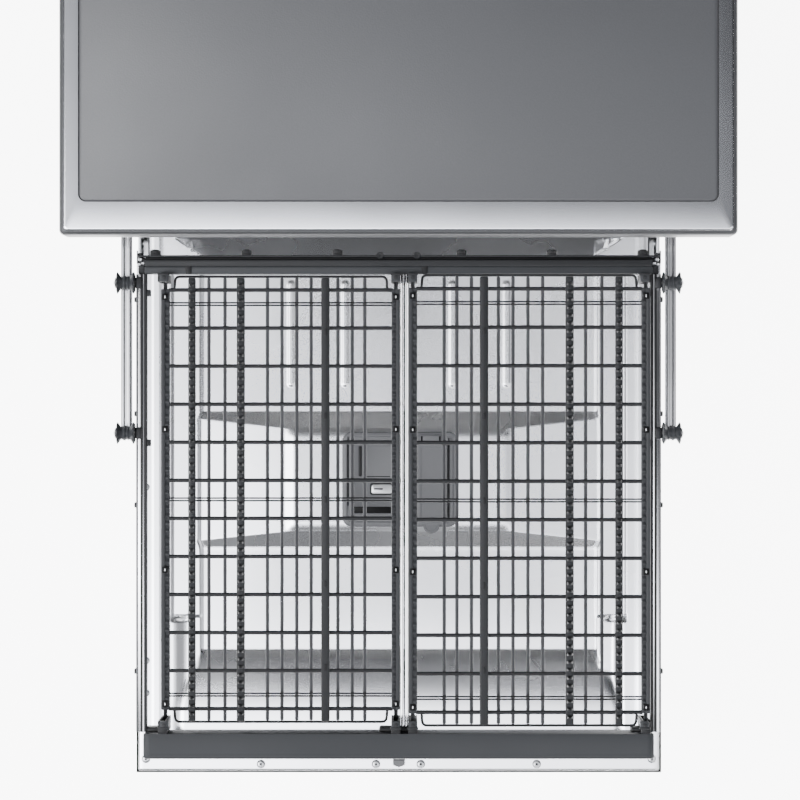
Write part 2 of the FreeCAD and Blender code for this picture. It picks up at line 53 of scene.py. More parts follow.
def surface(name, base, rough, metal=0.0, grain=400.0, bump=0.05, var=0.06, rvar=0.08,
            stretch=(1, 1, 1), coat=0.0, blotch=6.0, spec=0.5, painted_reflection=None):
    """Principled surface with two scales of colour variation, uneven gloss and a fine relief; optionally a
    painted reflection that darkens sloped faces.
    """
    m, nt, b = nodes_of(name)
    b.inputs["Metallic"].default_value = metal
    b.inputs["Coat Weight"].default_value = coat
    b.inputs["Coat Roughness"].default_value = 0.15
    b.inputs["Specular IOR Level"].default_value = spec
    tc = nt.nodes.new("ShaderNodeTexCoord")
    mp = nt.nodes.new("ShaderNodeMapping")
    mp.inputs["Scale"].default_value = stretch
    nt.links.new(tc.outputs["Object"], mp.inputs["Vector"])
    fine = nt.nodes.new("ShaderNodeTexNoise")
    fine.inputs["Scale"].default_value = grain
    fine.inputs["Detail"].default_value = 3.0
    wide = nt.nodes.new("ShaderNodeTexNoise")
    wide.inputs["Scale"].default_value = blotch
    wide.inputs["Detail"].default_value = 4.0
    nt.links.new(mp.outputs["Vector"], fine.inputs["Vector"])
    nt.links.new(tc.outputs["Object"], wide.inputs["Vector"])
    ramp = nt.nodes.new("ShaderNodeMapRange")
    ramp.inputs["From Min"].default_value = 0.25
    ramp.inputs["From Max"].default_value = 0.75
    mixn = nt.nodes.new("ShaderNodeMath")
    mixn.operation = "MULTIPLY_ADD"
    mixn.inputs[1].default_value = 0.5
    nt.links.new(fine.outputs["Fac"], mixn.inputs[0])
    half = nt.nodes.new("ShaderNodeMath")
    half.operation = "MULTIPLY"
    half.inputs[1].default_value = 0.5
    nt.links.new(wide.outputs["Fac"], half.inputs[0])
    nt.links.new(half.outputs[0], mixn.inputs[2])
    nt.links.new(mixn.outputs[0], ramp.inputs["Value"])
    col = nt.nodes.new("ShaderNodeMix")
    col.data_type = "RGBA"
    col.inputs["A"].default_value = tuple(c * (1 - var) for c in base) + (1,)
    col.inputs["B"].default_value = tuple(min(1, c * (1 + var)) for c in base) + (1,)
    nt.links.new(ramp.outputs["Result"], col.inputs["Factor"])
    out = col.outputs["Result"]
    if painted_reflection:
        # painted reflection: sloped faces take a slightly darker base colour, standing in for the darker room
        # they would mirror
        sp = nt.nodes.new("ShaderNodeSeparateXYZ")
        nt.links.new(tc.outputs["Normal"], sp.inputs[0])
        sl = nt.nodes.new("ShaderNodeMapRange")
        sl.inputs["From Min"].default_value = 0.86
        sl.inputs["From Max"].default_value = 0.99
        nt.links.new(sp.outputs["Z"], sl.inputs["Value"])
        dk = nt.nodes.new("ShaderNodeMix")
        dk.data_type = "RGBA"
        dk.inputs["A"].default_value = tuple(painted_reflection) + (1,)
        nt.links.new(sl.outputs["Result"], dk.inputs["Factor"])
        nt.links.new(out, dk.inputs["B"])
        out = dk.outputs["Result"]
    nt.links.new(out, b.inputs["Base Color"])
    rr_ = nt.nodes.new("ShaderNodeMapRange")
    rr_.inputs["From Min"].default_value = 0.3
    rr_.inputs["From Max"].default_value = 0.7
    rr_.inputs["To Min"].default_value = max(0.03, rough - rvar)
    rr_.inputs["To Max"].default_value = min(1.0, rough + rvar)
    nt.links.new(wide.outputs["Fac"], rr_.inputs["Value"])
    nt.links.new(rr_.outputs["Result"], b.inputs["Roughness"])
    bp = nt.nodes.new("ShaderNodeBump")
    bp.inputs["Strength"].default_value = bump
    bp.inputs["Distance"].default_value = 0.0004
    nt.links.new(fine.outputs["Fac"], bp.inputs["Height"])
    nt.links.new(bp.outputs["Normal"], b.inputs["Normal"])
    return m


M = {
    "trim": surface("trim_silver", (0.68, 0.69, 0.715), 0.17, metal=1.0, rvar=0.02, grain=200, bump=0.001,
            var=0.03),
    # dark base colour of the trim's rounded edge is painted shade, standing in for the edge's dark reflection
    "edge": surface("trim_edge_painted_shade", (0.055, 0.056, 0.059), 0.42, metal=0.3, grain=700, bump=0.05),
    "lam": surface("worktop_laminate", (0.0705, 0.0720, 0.0765), 0.42, grain=650, bump=0.22, var=0.10,
            rvar=0.05),
    "groove": surface("dark_joint", (0.05, 0.05, 0.052), 0.6, grain=500, bump=0.1),
    # liner steel: its second colour is a painted reflection that darkens the sloped faces of the pressing
    "steel": surface("liner_steel_painted_reflection", (0.87, 0.878, 0.90), 0.27, metal=1.0, grain=200, bump=0.001, var=0.02,
            rvar=0.03,
                     painted_reflection=(0.82, 0.825, 0.84)),
    "tubsteel": surface("tub_steel", (0.62, 0.62, 0.62), 0.30, metal=1.0, grain=500, bump=0.03, var=0.03,
                        stretch=(1, 14, 1)),
    "bright": surface("bright_steel", (0.84, 0.84, 0.85), 0.16, metal=1.0, grain=120, bump=0.006,
            stretch=(1, 0.02, 1), var=0.03),
    "zinc": surface("zinc_steel", (0.55, 0.56, 0.57), 0.35, metal=1.0, grain=300, bump=0.05),
    "paint": surface("painted_steel", (0.105, 0.108, 0.113), 0.36, metal=0.4, grain=900, bump=0.05, coat=0.2),
    "skin": surface("door_steel", (0.30, 0.303, 0.310), 0.34, metal=1.0, grain=700, bump=0.05,
            stretch=(0.05, 1, 1)),
    "dark": surface("dark_plastic", (0.008, 0.0082, 0.009), 0.55, grain=1200, bump=0.12, var=0.15, spec=0.3),
    "fascia": surface("fascia_plastic", (0.003, 0.003, 0.0034), 0.5, grain=900, bump=0.06, spec=0.15),
    "bar": surface("bar_plastic", (0.031, 0.0331, 0.0362), 0.55, grain=1300, bump=0.10, var=0.08, spec=0.3),
    "rodp": surface("rod_plastic", (0.016, 0.0167, 0.0182), 0.55, grain=1300, bump=0.10, var=0.12, spec=0.3),
    "railp": surface("tray_rail_plastic", (0.036, 0.0375, 0.0405), 0.55, grain=1300, bump=0.10, var=0.12,
            spec=0.3),
    "wire2": surface("coated_wire_pale", (0.052, 0.053, 0.057), 0.65, grain=900, bump=0.08, var=0.10,
            spec=0.2),
    "wire": surface("coated_wire", (0.019, 0.0195, 0.0212), 0.6, grain=900, bump=0.08, var=0.10, spec=0.25),
    "disp": surface("dispenser_plastic", (0.120, 0.122, 0.128), 0.50, grain=1300, bump=0.12, var=0.08),
    "displid": surface("dispenser_lid", (0.100, 0.102, 0.107), 0.50, grain=1300, bump=0.10, var=0.08),
    "label": surface("latch_silver", (0.68, 0.69, 0.70), 0.30, metal=0.6, grain=900, bump=0.03),
    "rubber": surface("seal_rubber", (0.016, 0.016, 0.017), 0.62, grain=700, bump=0.2),
    "white": surface("white_plastic", (0.42, 0.42, 0.41), 0.40, grain=900, bump=0.06),
    "grey": surface("grey_plastic", (0.11, 0.112, 0.116), 0.45, grain=1200, bump=0.12),
}


# ---------------------------------------------------------------- mesh tools
def rr(x0, x1, y0, y1, r, n=5):
    """Rounded rectangle, counter-clockwise."""
    r = max(0.01, min(r, (x1 - x0) / 2 - 0.01, (y1 - y0) / 2 - 0.01))
    out = []
    for cx, cy, a in ((x1 - r, y1 - r, 0), (x0 + r, y1 - r, 90), (x0 + r, y0 + r, 180), (x1 - r, y0 + r,
            270)):
        for i in range(n + 1):
            t = math.radians(a + 90.0 * i / n)
            out.append((cx + r * math.cos(t), cy + r * math.sin(t)))
    return out


def fillet(points, radius, seg=5):
    pts = [Vector(p) for p in points]
    out = [pts[0]]
    for a, b, c in zip(pts, pts[1:], pts[2:]):
        u = (a - b)
        w = (c - b)
        d = min(radius, u.length * 0.45, w.length * 0.45)
        p0 = b + u.normalized() * d
        p2 = b + w.normalized() * d
        for i in range(seg + 1):
            t = i / seg
            out.append(p0 * (1 - t) ** 2 + b * 2 * t * (1 - t) + p2 * t * t)
    out.append(pts[-1])
    return out


class Piece:
    def __init__(self):
        self.v = []
        self.f = []
        self.m = []
        self.mats = []

    def mat(self, key):
        if key not in self.mats:
            self.mats.append(key)
        return self.mats.index(key)

    def loft(self, rings, key, cap0=True, cap1=True, closed=True):
        k = self.mat(key)
        n = len(rings[0])
        base = len(self.v)
        for ring in rings:
            self.v.extend(tuple(p) for p in ring)
        for j in range(len(rings) - 1):
            a = base + j * n
            b = a + n
            for i in range(n if closed else n - 1):
                q = (i + 1) % n
                self.f.append((a + i, a + q, b + q, b + i))
                self.m.append(k)
        if cap0:
            self.f.append(tuple(base + i for i in reversed(range(n))))
            self.m.append(k)
        if cap1:
            last = base + (len(rings) - 1) * n
            self.f.append(tuple(last + i for i in range(n)))
            self.m.append(k)

    def box(self, x0, x1, y0, y1, z0, z1, key, b=0.8, r=None, n=3, up="z"):
        """Bevelled box; r is the corner radius seen along the up axis."""
        b = min(b, (x1 - x0) * 0.3, (y1 - y0) * 0.3, (z1 - z0) * 0.3)
        if up == "y":
            u0, u1, w0, w1, h0, h1 = z0, z1, x0, x1, y0, y1
        elif up == "x":
            u0, u1, w0, w1, h0, h1 = y0, y1, z0, z1, x0, x1
        else:
            u0, u1, w0, w1, h0, h1 = x0, x1, y0, y1, z0, z1
        r = b if r is None else r
        rings = []
        for inset, h in ((b, h0), (b * 0.3, h0 + b * 0.3), (0, h0 + b), (0, h1 - b), (b * 0.3, h1 - b * 0.3),
                (b, h1)):
            ring = rr(u0 + inset, u1 - inset, w0 + inset, w1 - inset, max(0.05, r - inset * 0.5), n)
            if up == "y":
                ring = [(w, h, u) for u, w in ring]
            elif up == "x":
                ring = [(h, u, w) for u, w in ring]
            else:
                ring = [(u, w, h) for u, w in ring]
            rings.append(ring)
        self.loft(rings, key)

    def tube(self, pts, r, key, n=8, ends=True):
        pts = [Vector(p) for p in pts]
        d0 = (pts[1] - pts[0]).normalized()
        up = Vector((0, 0, 1)) if abs(d0.z) < 0.9 else Vector((1, 0, 0))
        side = d0.cross(up).normalized()
        rings = []
        last = len(pts) - 1
        for i, p in enumerate(pts):
            if i == 0:
                d = d0
            elif i == last:
                d = (pts[i] - pts[i - 1]).normalized()
            else:
                d = ((pts[i] - pts[i - 1]).normalized() + (pts[i + 1] - pts[i]).normalized()).normalized()
            side = (side - d * side.dot(d)).normalized()
            up2 = side.cross(d)
            rad = r(i / last) if callable(r) else r
            if ends and i == 0:
                rings.append([p + (side * math.cos(t) + up2 * math.sin(t)) * rad * 0.6 for t in
                              [math.tau * k / n for k in range(n)]])
                p = p + d * rad * 0.4
            if ends and i == last:
                q = p - d * rad * 0.4
                rings.append([q + (side * math.cos(t) + up2 * math.sin(t)) * rad for t in
                              [math.tau * k / n for k in range(n)]])
                rings.append([p + (side * math.cos(t) + up2 * math.sin(t)) * rad * 0.6 for t in
                              [math.tau * k / n for k in range(n)]])
                continue
            rings.append([p + (side * math.cos(t) + up2 * math.sin(t)) * rad for t in
                          [math.tau * k / n for k in range(n)]])
        self.loft(rings, key)

    def lathe(self, origin, axis, profile, key, n=24, wob=None):
        """profile: (distance along the axis, radius). wob scales the radius with the angle."""
        o = Vector(origin)
        a = Vector(axis).normalized()
        s = a.orthogonal().normalized()
        t = a.cross(s)
        rings = []
        for h, r in profile:
            ring = []
            for k in range(n):
                ang = math.tau * k / n
                q = r * (wob(k, r) if wob else 1.0)
                ring.append(o + a * h + (s * math.cos(ang) + t * math.sin(ang)) * q)
            rings.append(ring)
        self.loft(rings, key)

    def build(self, name, body, replaces=(), smooth=35.0, subsurf=0):
        me = bpy.data.meshes.new(name)
        me.from_pydata([(x * MM, y * MM, z * MM) for x, y, z in self.v], [], self.f)
        for key in self.mats:
            me.materials.append(M[key])
        me.polygons.foreach_set("material_index", self.m)
        me.polygons.foreach_set("use_smooth", [True] * len(me.polygons))
        me.validate()
        me.update()
        me.set_sharp_from_angle(angle=math.radians(smooth))
        o = bpy.data.objects.new(name, me)
        bpy.context.scene.collection.objects.link(o)
        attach(o, body)
        if replaces:
            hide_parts(*replaces)
        return o


def smooth(a, b, x):
    if a == b:
        return 1.0 if x >= a else 0.0
    t = min(1.0, max(0.0, (x - a) / (b - a)))
    return t * t * (3 - 2 * t)


def bx(k, a, b):
    """x range on the left (k = -1) or right side."""
    return (a, b) if k > 0 else (-b, -a)


def part_material(node, key):
    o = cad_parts[node]
    o.data.materials.clear()
    o.data.materials.append(M[key])
    o.data.polygons.foreach_set("material_index", [0] * len(o.data.polygons))


# ---------------------------------------------------------------- worktop
lo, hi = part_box("worktop_frame")
WX = hi[0] / MM
WY0, WY1 = lo[1] / MM, hi[1] / MM
WZ0, WZ1 = lo[2] / MM, hi[2] / MM
p = Piece()


def wring(inset, z, front=None, r=5.0, side=None):
    s = inset if side is None else side
    f = inset if front is None else front
    return [(x, y, z) for x, y in rr(-WX + s, WX - s, WY0 + f, WY1 - s, max(0.5, r - s * 0.35), 8)]


# sides and rounded outer edge of the trim take the dark edge material: painted shade on the silver edge
p.loft([wring(1.0, WZ0), wring(0, WZ0 + 1), wring(0, WZ1 - 4.5), wring(0.5, WZ1 - 2.6), wring(1.5, WZ1 - 1.4),
        wring(3.4, WZ1 - 0.7), wring(4.2, WZ1 - 0.65)], "edge", cap1=False)
p.loft([wring(4.2, WZ1 - 0.65), wring(4.8, WZ1 - 0.15), wring(6.0, WZ1),
        [(x, y, WZ1) for x, y in rr(-281.9, 281.9, WY0 + 29.2, WY1 - 23.6, 7.0,
                8)]], "trim", cap0=False, cap1=False)
p.loft([[(x, y, WZ1) for x, y in rr(-281.9, 281.9, WY0 + 29.2, WY1 - 23.6, 7.0, 8)],
        [(x, y, WZ1 - 1.6) for x, y in rr(-281.7, 281.7, WY0 + 29.4, WY1 - 23.8, 7.0, 8)],
        [(x, y, WZ1 - 1.6) for x, y in rr(-279, 279, WY0 + 32, WY1 - 26, 5.0,
                8)]], "groove", cap0=False, cap1=False)
p.build("worktop_trim", "cabinet", ("worktop_frame",))
p = Piece()
rings = []
for ins, z in ((0.9, WZ1 - 6), (0.9, WZ1 - 1.3), (1.1, WZ1 - 0.8), (1.7, WZ1 - 0.45)):
    rings.append([(x, y, z) for x, y in rr(-281.9 + ins, 281.9 - ins, WY0 + 29.2 + ins, WY1 - 23.6 - ins,
            6.5, 8)])
p.loft(rings, "lam")
p.build("worktop_board", "cabinet", ("worktop_panel",))

# ---------------------------------------------------------------- door liner
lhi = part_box("door_inner_liner")[1]
LZ = lhi[2] / MM
LY0, LY1 = -582.5, lhi[1] / MM
LX = lhi[0] / MM


def liner_z(x, y):
    ax = abs(x)
    F = LZ
    R = F - 17.5
    # half-width of the recess: a little wider between the bands and flared at the bottom
    hw = 224.6 + 2.9 * smooth(-172, -184, y) * smooth(-330, -320, y)
    hw += 21.0 * smooth(-446, -516, y)
    t = min(1.0, max(0.0, (-446.5 - y) / 86.0))
    floor = R + (15.8 * (1 - (1 - t) ** 3.0)) * (1 if y < -446.5 else 0)
    # raised middle between the two bands
    wid = 1.0 if ax < 127 else 1.0 - 0.58 * min(1.0, (ax - 127) / 99.0)
    ea = -174 - 18.5 * wid
    eb = -328.8 + 18.5 * wid
    rise = 7.0 * wid
    if y < -174 and y > -328.8:
        ta = min(1.0, (-174 - y) / (-174 - ea))
        tb = min(1.0, (y + 328.8) / (eb + 328.8))
        floor = R + rise * min(ta, tb)
        # upright ridges that bound the centre
        inside = smooth(131, 119, ax) * smooth(ea + 1, ea - 8, y) * smooth(eb - 1, eb + 8, y)
        floor += 2.2 * inside
    # four capsule ribs
    for rx in (61.5, 123.5):
        dx = abs(ax - rx)
        dy = max(0.0, y + 28.2, -141.1 - y)
        d = math.hypot(dx, dy)
        floor += 1.1 * smooth(5.0, 1.6, d)
    # shelf beside the recess and its end at the notch
    if y > -405:
        shelf = F - 3.2 * (1 - smooth(256.6, 259.4, ax))
    else:
        k = smooth(-405, -409, y)
        wide = F - 7.5 * (1 - smooth(242, 257, ax))
        shelf = (F - 3.2 * (1 - smooth(256.6, 259.4, ax))) * (1 - k) + wide * k
        if y > -414:
            notch = smooth(-403.5, -406, y) * smooth(-414, -409, y) * smooth(239, 243, ax) * smooth(260, 257,
                    ax)
            shelf -= 4.0 * notch
        shelf = shelf * (1 - smooth(-531, -541, y)) + F * smooth(-531, -541, y)
    z = floor + (shelf - floor) * smooth(hw - 1.2, hw + 2.2 + 11.0 * smooth(-449, -500, y), ax)
    # drain lip at the hinge end
    if y > 2:
        up = min(1.0, (y - 5) / 20.0) if y > 5 else 0.0
        spread = 224 + 31 * up
        z = F
        if ax < spread + 1.5:
            k = smooth(spread + 1.5, spread - 1.0, ax)
            z = F * (1 - k) + (R + 17.5 * up) * k
    # end of the recess: narrow dark step up to the flange
    e = smooth(-536, -541, y)
    z = z * (1 - e) + F * e
    # long bead near the outer edge
    if ax > 266:
        z += 0.5 * smooth(270.5, 273, ax) * smooth(281.5, 279, ax) * smooth(-552, -546, y)
    # rolled outer edge
    edge = max(0.0, ax - (LX - 2.0), (LY0 + 2.0) - y)
    z -= 0.35 * edge * edge
    return z


def spaced(a, b, step, fine, spots):
    vals = {round(a, 3), round(b, 3)}
    x = a
    while x < b:
        near = any(lo_ - 1 <= x <= hi_ + 1 for lo_, hi_ in spots)
        x += fine if near else step
        if x < b:
            vals.add(round(x, 3))
    return sorted(vals)


xs_half = spaced(0, LX, 4.0, 0.9, [(55, 69), (117, 134), (222, 232), (239, 262), (269, 283), (295, LX)])
xs = [-x for x in reversed(xs_half[1:])] + xs_half
ys = spaced(LY0, LY1, 4.0, 0.95, [(LY0, LY0 + 3), (-553, -526), (-452, -444), (-416, -402), (-331, -308),
        (-195, -172),
                                 (-148, -138), (-31, -22), (2, 25)])
p = Piece()
ks = p.mat("steel")
nx = len(xs)
for y in ys:
    for x in xs:
        edge = min(1.0, max(0.0, (-528 - y) / 6.0))
        gx = x * (1 - edge * 2.0 / LX) if abs(x) > 285 else x
        p.v.append((gx, y, liner_z(x, y)))
for j in range(len(ys) - 1):
    for i in range(nx - 1):
        xm = abs(xs[i] + xs[i + 1]) / 2
        if ys[j] > -6 and xm > 284:
            continue
        a = j * nx + i
        p.f.append((a, a + 1, a + nx + 1, a + nx))
        p.m.append(ks)
p.build("liner_pressing", "door", ("door_inner_liner",), smooth=60)

# ---------------------------------------------------------------- screws, hook, fascia
p = Piece()


def screw(x, y, z, r=4.2):
    p.lathe((x, y, z), (0, 0, 1), [(0, r + 0.7), (0.35, r + 0.55), (0.4, r - 0.4)], "groove", 24)
    p.lathe((x, y, z), (0, 0, 1), [(0, r), (0.7, r), (1.5, r * 0.86), (1.9, r * 0.55), (1.9, r * 0.46),
            (1.0, r * 0.40)],
            "zinc", 20)
    # the dark cone at the bottom of the head's recess is painted shade
    p.lathe((x, y, z + 1.0), (0, 0, 1), [(0, r * 0.38), (0.05, r * 0.02)], "dark", 6)


for x in (-157, -26, 25, 157):
    screw(x, -575, LZ)
for s in (-1, 1):
    screw(288 * s, -569, LZ)
    for y in (-494, -457, -259.5):
        screw(288 * s, y, LZ, 3.6)
p.build("pan_head_screws", "door", ("liner_screws",))

p = Piece()


def hook_ring(ins, z, tip):
    return [(x, y, z) for x, y in ((6.7 - ins, -568.9 - ins), (-6.7 + ins, -568.9 - ins),
            (-6.7 + ins, -575.0 + ins * 0.4),
                                   (-4.6 + ins * 0.6, -576.2 + ins * 0.6), (-1.6, tip + 1.0), (0,
                                           tip + ins * 0.5), (1.6, tip + 1.0),
                                   (4.6 - ins * 0.6, -576.2 + ins * 0.6), (6.7 - ins, -575.0 + ins * 0.4))]


p.loft([hook_ring(0.4, LZ, -577.6), hook_ring(0, LZ + 0.6, -578.2), hook_ring(0, LZ + 6.8, -578.2),
        hook_ring(1.0, LZ + 7.9, -577.4)], "grey")
p.build("latch_hook", "door", ("door_hook",))

flo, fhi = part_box("control_fascia")
FY0, FY1 = flo[1] / MM, fhi[1] / MM
FZ0, FZ1 = flo[2] / MM, fhi[2] / MM
FX = fhi[0] / MM
p = Piece()
p.box(-FX, FX, FY0, FY0 + 3.4, FZ0, FZ1, "fascia", 0.35, r=0.8)
for s in (-1, 1):
    x0, x1 = bx(s, FX - 3, FX)
    p.box(x0, x1, FY0 + 2, FY1, FZ0, FZ1, "fascia", 0.3)
# front plate with two button openings
for x0, x1, y0, y1 in ((-FX, -260, FY0, FY1), (-240, 240, FY0, FY1), (260, FX, FY0, FY1)):
    p.box(x0, x1, y0 + 0.1, y1, FZ0, FZ0 + 3, "fascia", 0.7)
for cx in (-250, 250):
    p.box(cx - 10, cx + 10, FY0 + 0.1, -550, FZ0, FZ0 + 3, "fascia", 0.7)
    p.box(cx - 10, cx + 10, -530, FY1, FZ0, FZ0 + 3, "fascia", 0.7)
p.build("fascia_shell", "door", ("control_fascia",))
for node in ("power_button", "start_button"):
    blo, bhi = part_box(node)
    cx = (blo[0] + bhi[0]) / 2 / MM
    p = Piece()
    p.box(cx - 9, cx + 9, -549, -531, blo[2] / MM, blo[2] / MM + 6, "zinc", 1.0, r=3.0, n=5)
    p.lathe((cx, -540, blo[2] / MM + 0.1), (0, 0, -1), [(0, 3.4), (0.25, 3.2), (0.25, 2.6), (0.05, 2.4)],
            "dark", 24)
    p.build(node + "_cap", node, (node,))

olo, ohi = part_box("door_outer_panel")
p = Piece()
OY0, OY1 = olo[1] / MM, ohi[1] / MM
OZ0 = olo[2] / MM
p.box(-FX, FX, OY0 + 0.3, OY1, OZ0, OZ0 + 1.2, "skin", 0.5, r=1.0)
for s in (-1, 1):
    x0, x1 = bx(s, FX - 1.2, FX)
    p.box(x0, x1, OY0 + 0.3, 10, OZ0 + 0.6, 217.6, "skin", 0.4)
p.build("door_skin", "door", ("door_outer_panel",))
part_material("hinge_arms", "zinc")

# ---------------------------------------------------------------- dispenser
p = Piece()
DT = 214.8
n8 = 8


def dring(ins, z, r=11.0):
    return [(x, y, z) for x, y in rr(-64.6 + ins, 67.5 - ins, -305.0 + ins, -197.0 - ins, max(1, r - ins),
            n8)]


p.loft([dring(-3.5, 206.3, 13), dring(-3.0, 207.6, 13), dring(-1.0, 208.4, 12), dring(-0.6, 209.0),
        dring(0, 212.6),
        dring(0.8, 214.2), dring(2.2, DT), dring(5.0, DT), dring(5.8, DT - 1.2), dring(8.2,
                DT - 1.4)], "disp")
p.box(21.5, 54.5, -303, -214, DT - 1.5, DT, "disp", 0.5, r=4)
for x0 in (14, 58.5):
    p.box(x0, x0 + 3.5, -298, -204, DT - 1.4, DT + 0.2, "disp", 0.5, r=1.5)
p.box(24.0, 49.0, -209.4, -200.4, DT - 1.2, 217.4, "disp", 0.8, r=1.5)
for x0 in (25.0, 45.6):
    p.box(x0, x0 + 2.2, -208.6, -201.6, 217.0, 217.55, "fascia", 0.1, r=0.5)
p.box(-58.6, -57.6, -281.0, -202.0, DT - 1.4, DT + 0.35, "fascia", 0.1)
p.box(56.4, 57.4, -298.0, -204.0, DT - 1.4, DT + 0.35, "fascia", 0.1)
p.build("dispenser_housing", "door", ("dispenser_body",))

p = Piece()
rings = []
for ins, z in ((0.6, 215.1), (0, 215.8), (0, 217.8), (0.5, 218.6), (1.6, 218.95), (3.0, 218.95),
        (3.6, 218.5)):
    rings.append([(x, y, z) for x, y in rr(-57 + ins, 0 - ins, -290 + ins, -209 - ins, 5, 6)])
p.loft(rings, "displid")
p.box(-45.8, -42.4, -247.5, -213, 218.3, 220.6, "dark", 0.7, r=1.2)
p.box(-51.0, -9.0, -289.4, -282.0, 218.3, 219.05, "fascia", 0.12, r=0.8)
p.box(-40, -10, -248.2, -247.2, 218.3, 219.05, "dark", 0.1)
p.box(-33.0, -6.5, -268.6, -255.0, 218.4, 219.0, "rodp", 0.15, r=2.5)
p.build("detergent_cover", "detergent_lid", ("detergent_lid",))
p = Piece()
p.box(-31, -8, -267, -256.6, 218.2, 220.7, "label", 0.7, r=2.4, n=5)
p.box(-28.5, -18, -262.6, -260.8, 220.4, 220.9, "dark", 0.15, r=0.8)
p.build("lid_latch_button", "lid_latch", ("lid_latch",))
p = Piece()
rings = []
for ins, z in ((0.5, 215.7), (0, 216.3), (0, 217.6), (0.6, 218.35), (1.8, 218.55), (3.6, 218.55),
        (4.4, 218.0), (6, 217.9)):
    rings.append([(x, y, z) for x, y in rr(21 + ins, 55 - ins, -303 + ins, -209.5 - ins, 4.5, 6)])
p.loft(rings, "disp")
p.lathe((37, -303, 215.8), (0, 0, 1), [(0, 9.3), (2.0, 9.5), (2.7, 9.0), (2.8, 7.0), (2.2, 6.4), (2.1, 1)],
        "disp", 40)
p.build("rinse_aid_cover", "rinse_aid_flap", ("rinse_aid_flap",))

# ---------------------------------------------------------------- third rack frame
p = Piece()
# rear bar: dark rear lip, main channel and a lighter lip with small notches
# the black, dark and lighter tones of these strips are painted shade and light across the bar's faces
p.box(-240, 240, -29.0, -27.2, 744, 753.6, "rodp", 0.5, r=0.8)
p.box(-233, 233, -32.0, -28.6, 741, 752.0, "fascia", 0.8, r=1.5)
p.box(-233.2, 233.2, -38.0, -31.6, 738.4, 756.6, "rodp", 1.0, r=1.5)
p.box(-233.4, 233.4, -44.6, -37.8, 739, 755.0, "bar", 0.8, r=1.2)
for s in (-1, 1):
    x0, x1 = bx(s, 232.5, 240)
    p.box(x0, x1, -44.6, -29.2, 741, 747, "rodp", 0.8, r=1.5)
    for x, y, r, h in ((237.6, -31.2, 2.0, 752.2), (235.2, -34.6, 1.7, 751.4), (238.4, -35.6, 1.4, 750.6)):
        p.lathe((x * s, y, 746), (0, 0, 1), [(0, r), (h - 747, r), (h - 746.3, r * 0.6),
                (h - 746.8, r * 0.5)], "zinc", 14)
    x0, x1 = bx(s, 233.0, 235.4)
    p.box(x0, x1, -37.5, -30.2, 746.5, 750.4, "dark", 0.4, r=0.6)
for x in (-224, -140, -56, 58, 141, 225):
    p.box(x - 4.6, x + 4.6, -29.5, -22.5, 742.5, 752.5, "dark", 1.0, r=1.3)
    p.box(x - 3.0, x + 3.0, -26.0, -21.9, 745, 754.2, "dark", 0.8, r=1)
for x in (-17, 17):
    p.lathe((x, -27.5, 752.5), (0, 0, 1), [(-6, 3.3), (1.5, 3.3), (2.2, 2.7), (2.0, 1.4), (1.0, 1.2)],
            "rodp", 20)
for x in (-193, 24):
    p.box(x - 2.6, x + 2.6, -44.9, -37.5, 754.0, 756.3, "dark", 0.5, r=0.8)
p.build("rear_cross_bar", "third_rack", ("rear_bar",))

p = Piece()
rings = []
# handle: broad bar, slightly crowned, with rounded ends
for i in range(41):
    t = -1 + 2 * i / 40.0
    x = 234.3 * math.sin(t * math.pi / 2)
    e = max(0.0, (abs(x) - 231.5) / 2.8)
    c = 1 - 0.35 * e * e
    y0, y1 = -490.0 + 1.2 * e, -466.0 - 1.2 * e
    z0, z1 = 733.0 + 1.5 * e, 759.4 - 1.8 * e
    ring = []
    for dy, dz in ((0.0, 0.08), (0.03, 0.0), (0.97, 0.0), (1.0, 0.08), (1.0, 0.88), (0.97, 0.97),
            (0.75, 1.0), (0.25, 1.0),
                   (0.03, 0.97), (0.0, 0.88)):
        ring.append((x, y1 + (y0 - y1) * dy, z0 + (z1 - z0) * dz))
    rings.append(ring)
p.loft(rings, "bar")
for x0, x1 in ((-233, -214), (-18, 18), (214, 233)):
    p.box(x0, x1, -468, -461.5, 736, 750, "dark", 1.5, r=2)
p.build("front_handle", "third_rack", ("handle_bar",))

p = Piece()
for s in (-1, 1):
    # plastic side rail in three ribs over a bright strip, with clips and roller axles
    # the dark ribs beside the bright strip are painted reflection: they copy the dark and light bands of a
    # reflective rail
    for a, b, z, key in ((231.9, 234.4, 751.4, "rodp"), (235.4, 237.6, 752.0, "rodp"), (239.9, 241.6, 751.6,
            "grey")):
        x0, x1 = bx(s, a, b)
        p.box(x0, x1, -466, -44.6, 741, z, key, 0.6, r=0.6)
    x0, x1 = bx(s, 232.0, 241.4)
    p.box(x0, x1, -466, -44.6, 740, 750.2, "bright", 0.3, r=0.3)
    for y in (-68, -173, -257, -410):
        x0, x1 = bx(s, 240.8, 243.4)
        p.box(x0, x1, y - 2.5, y + 2.5, 744, 751, "dark", 0.6, r=1.2)
    for y in (-52.7, -190.8):
        x0, x1 = bx(s, 236.0, 242.0)
        p.box(x0, x1, y - 5.5, y + 5.5, 746, 755.5, "rodp", 1.2, r=2)
        p.tube([(241.2 * s, y, 752.5), (262, y, 752.5)] if s > 0 else [(-241.2, y, 752.5), (-262, y, 752.5)],
                2.45, "zinc", 14)
        x0, x1 = bx(s, 228.4, 233.6)
        p.box(x0, x1, y - 12.2, y - 6.0, 742, 750, "rodp", 0.8, r=1)
p.build("rack_side_members", "third_rack", ("rack_side_rails",))
part_material("centre_rods", "bright")
p = Piece()
# dark strips between and beside the centre rods are painted shade
for a, b in ((3.0, 4.0), (4.9, 5.8), (8.6, 9.4)):
    p.box(a, b, -466, -44.6, 741.5, 743.8, "dark", 0.2)
p.build("centre_channel_painted_shade", "third_rack")

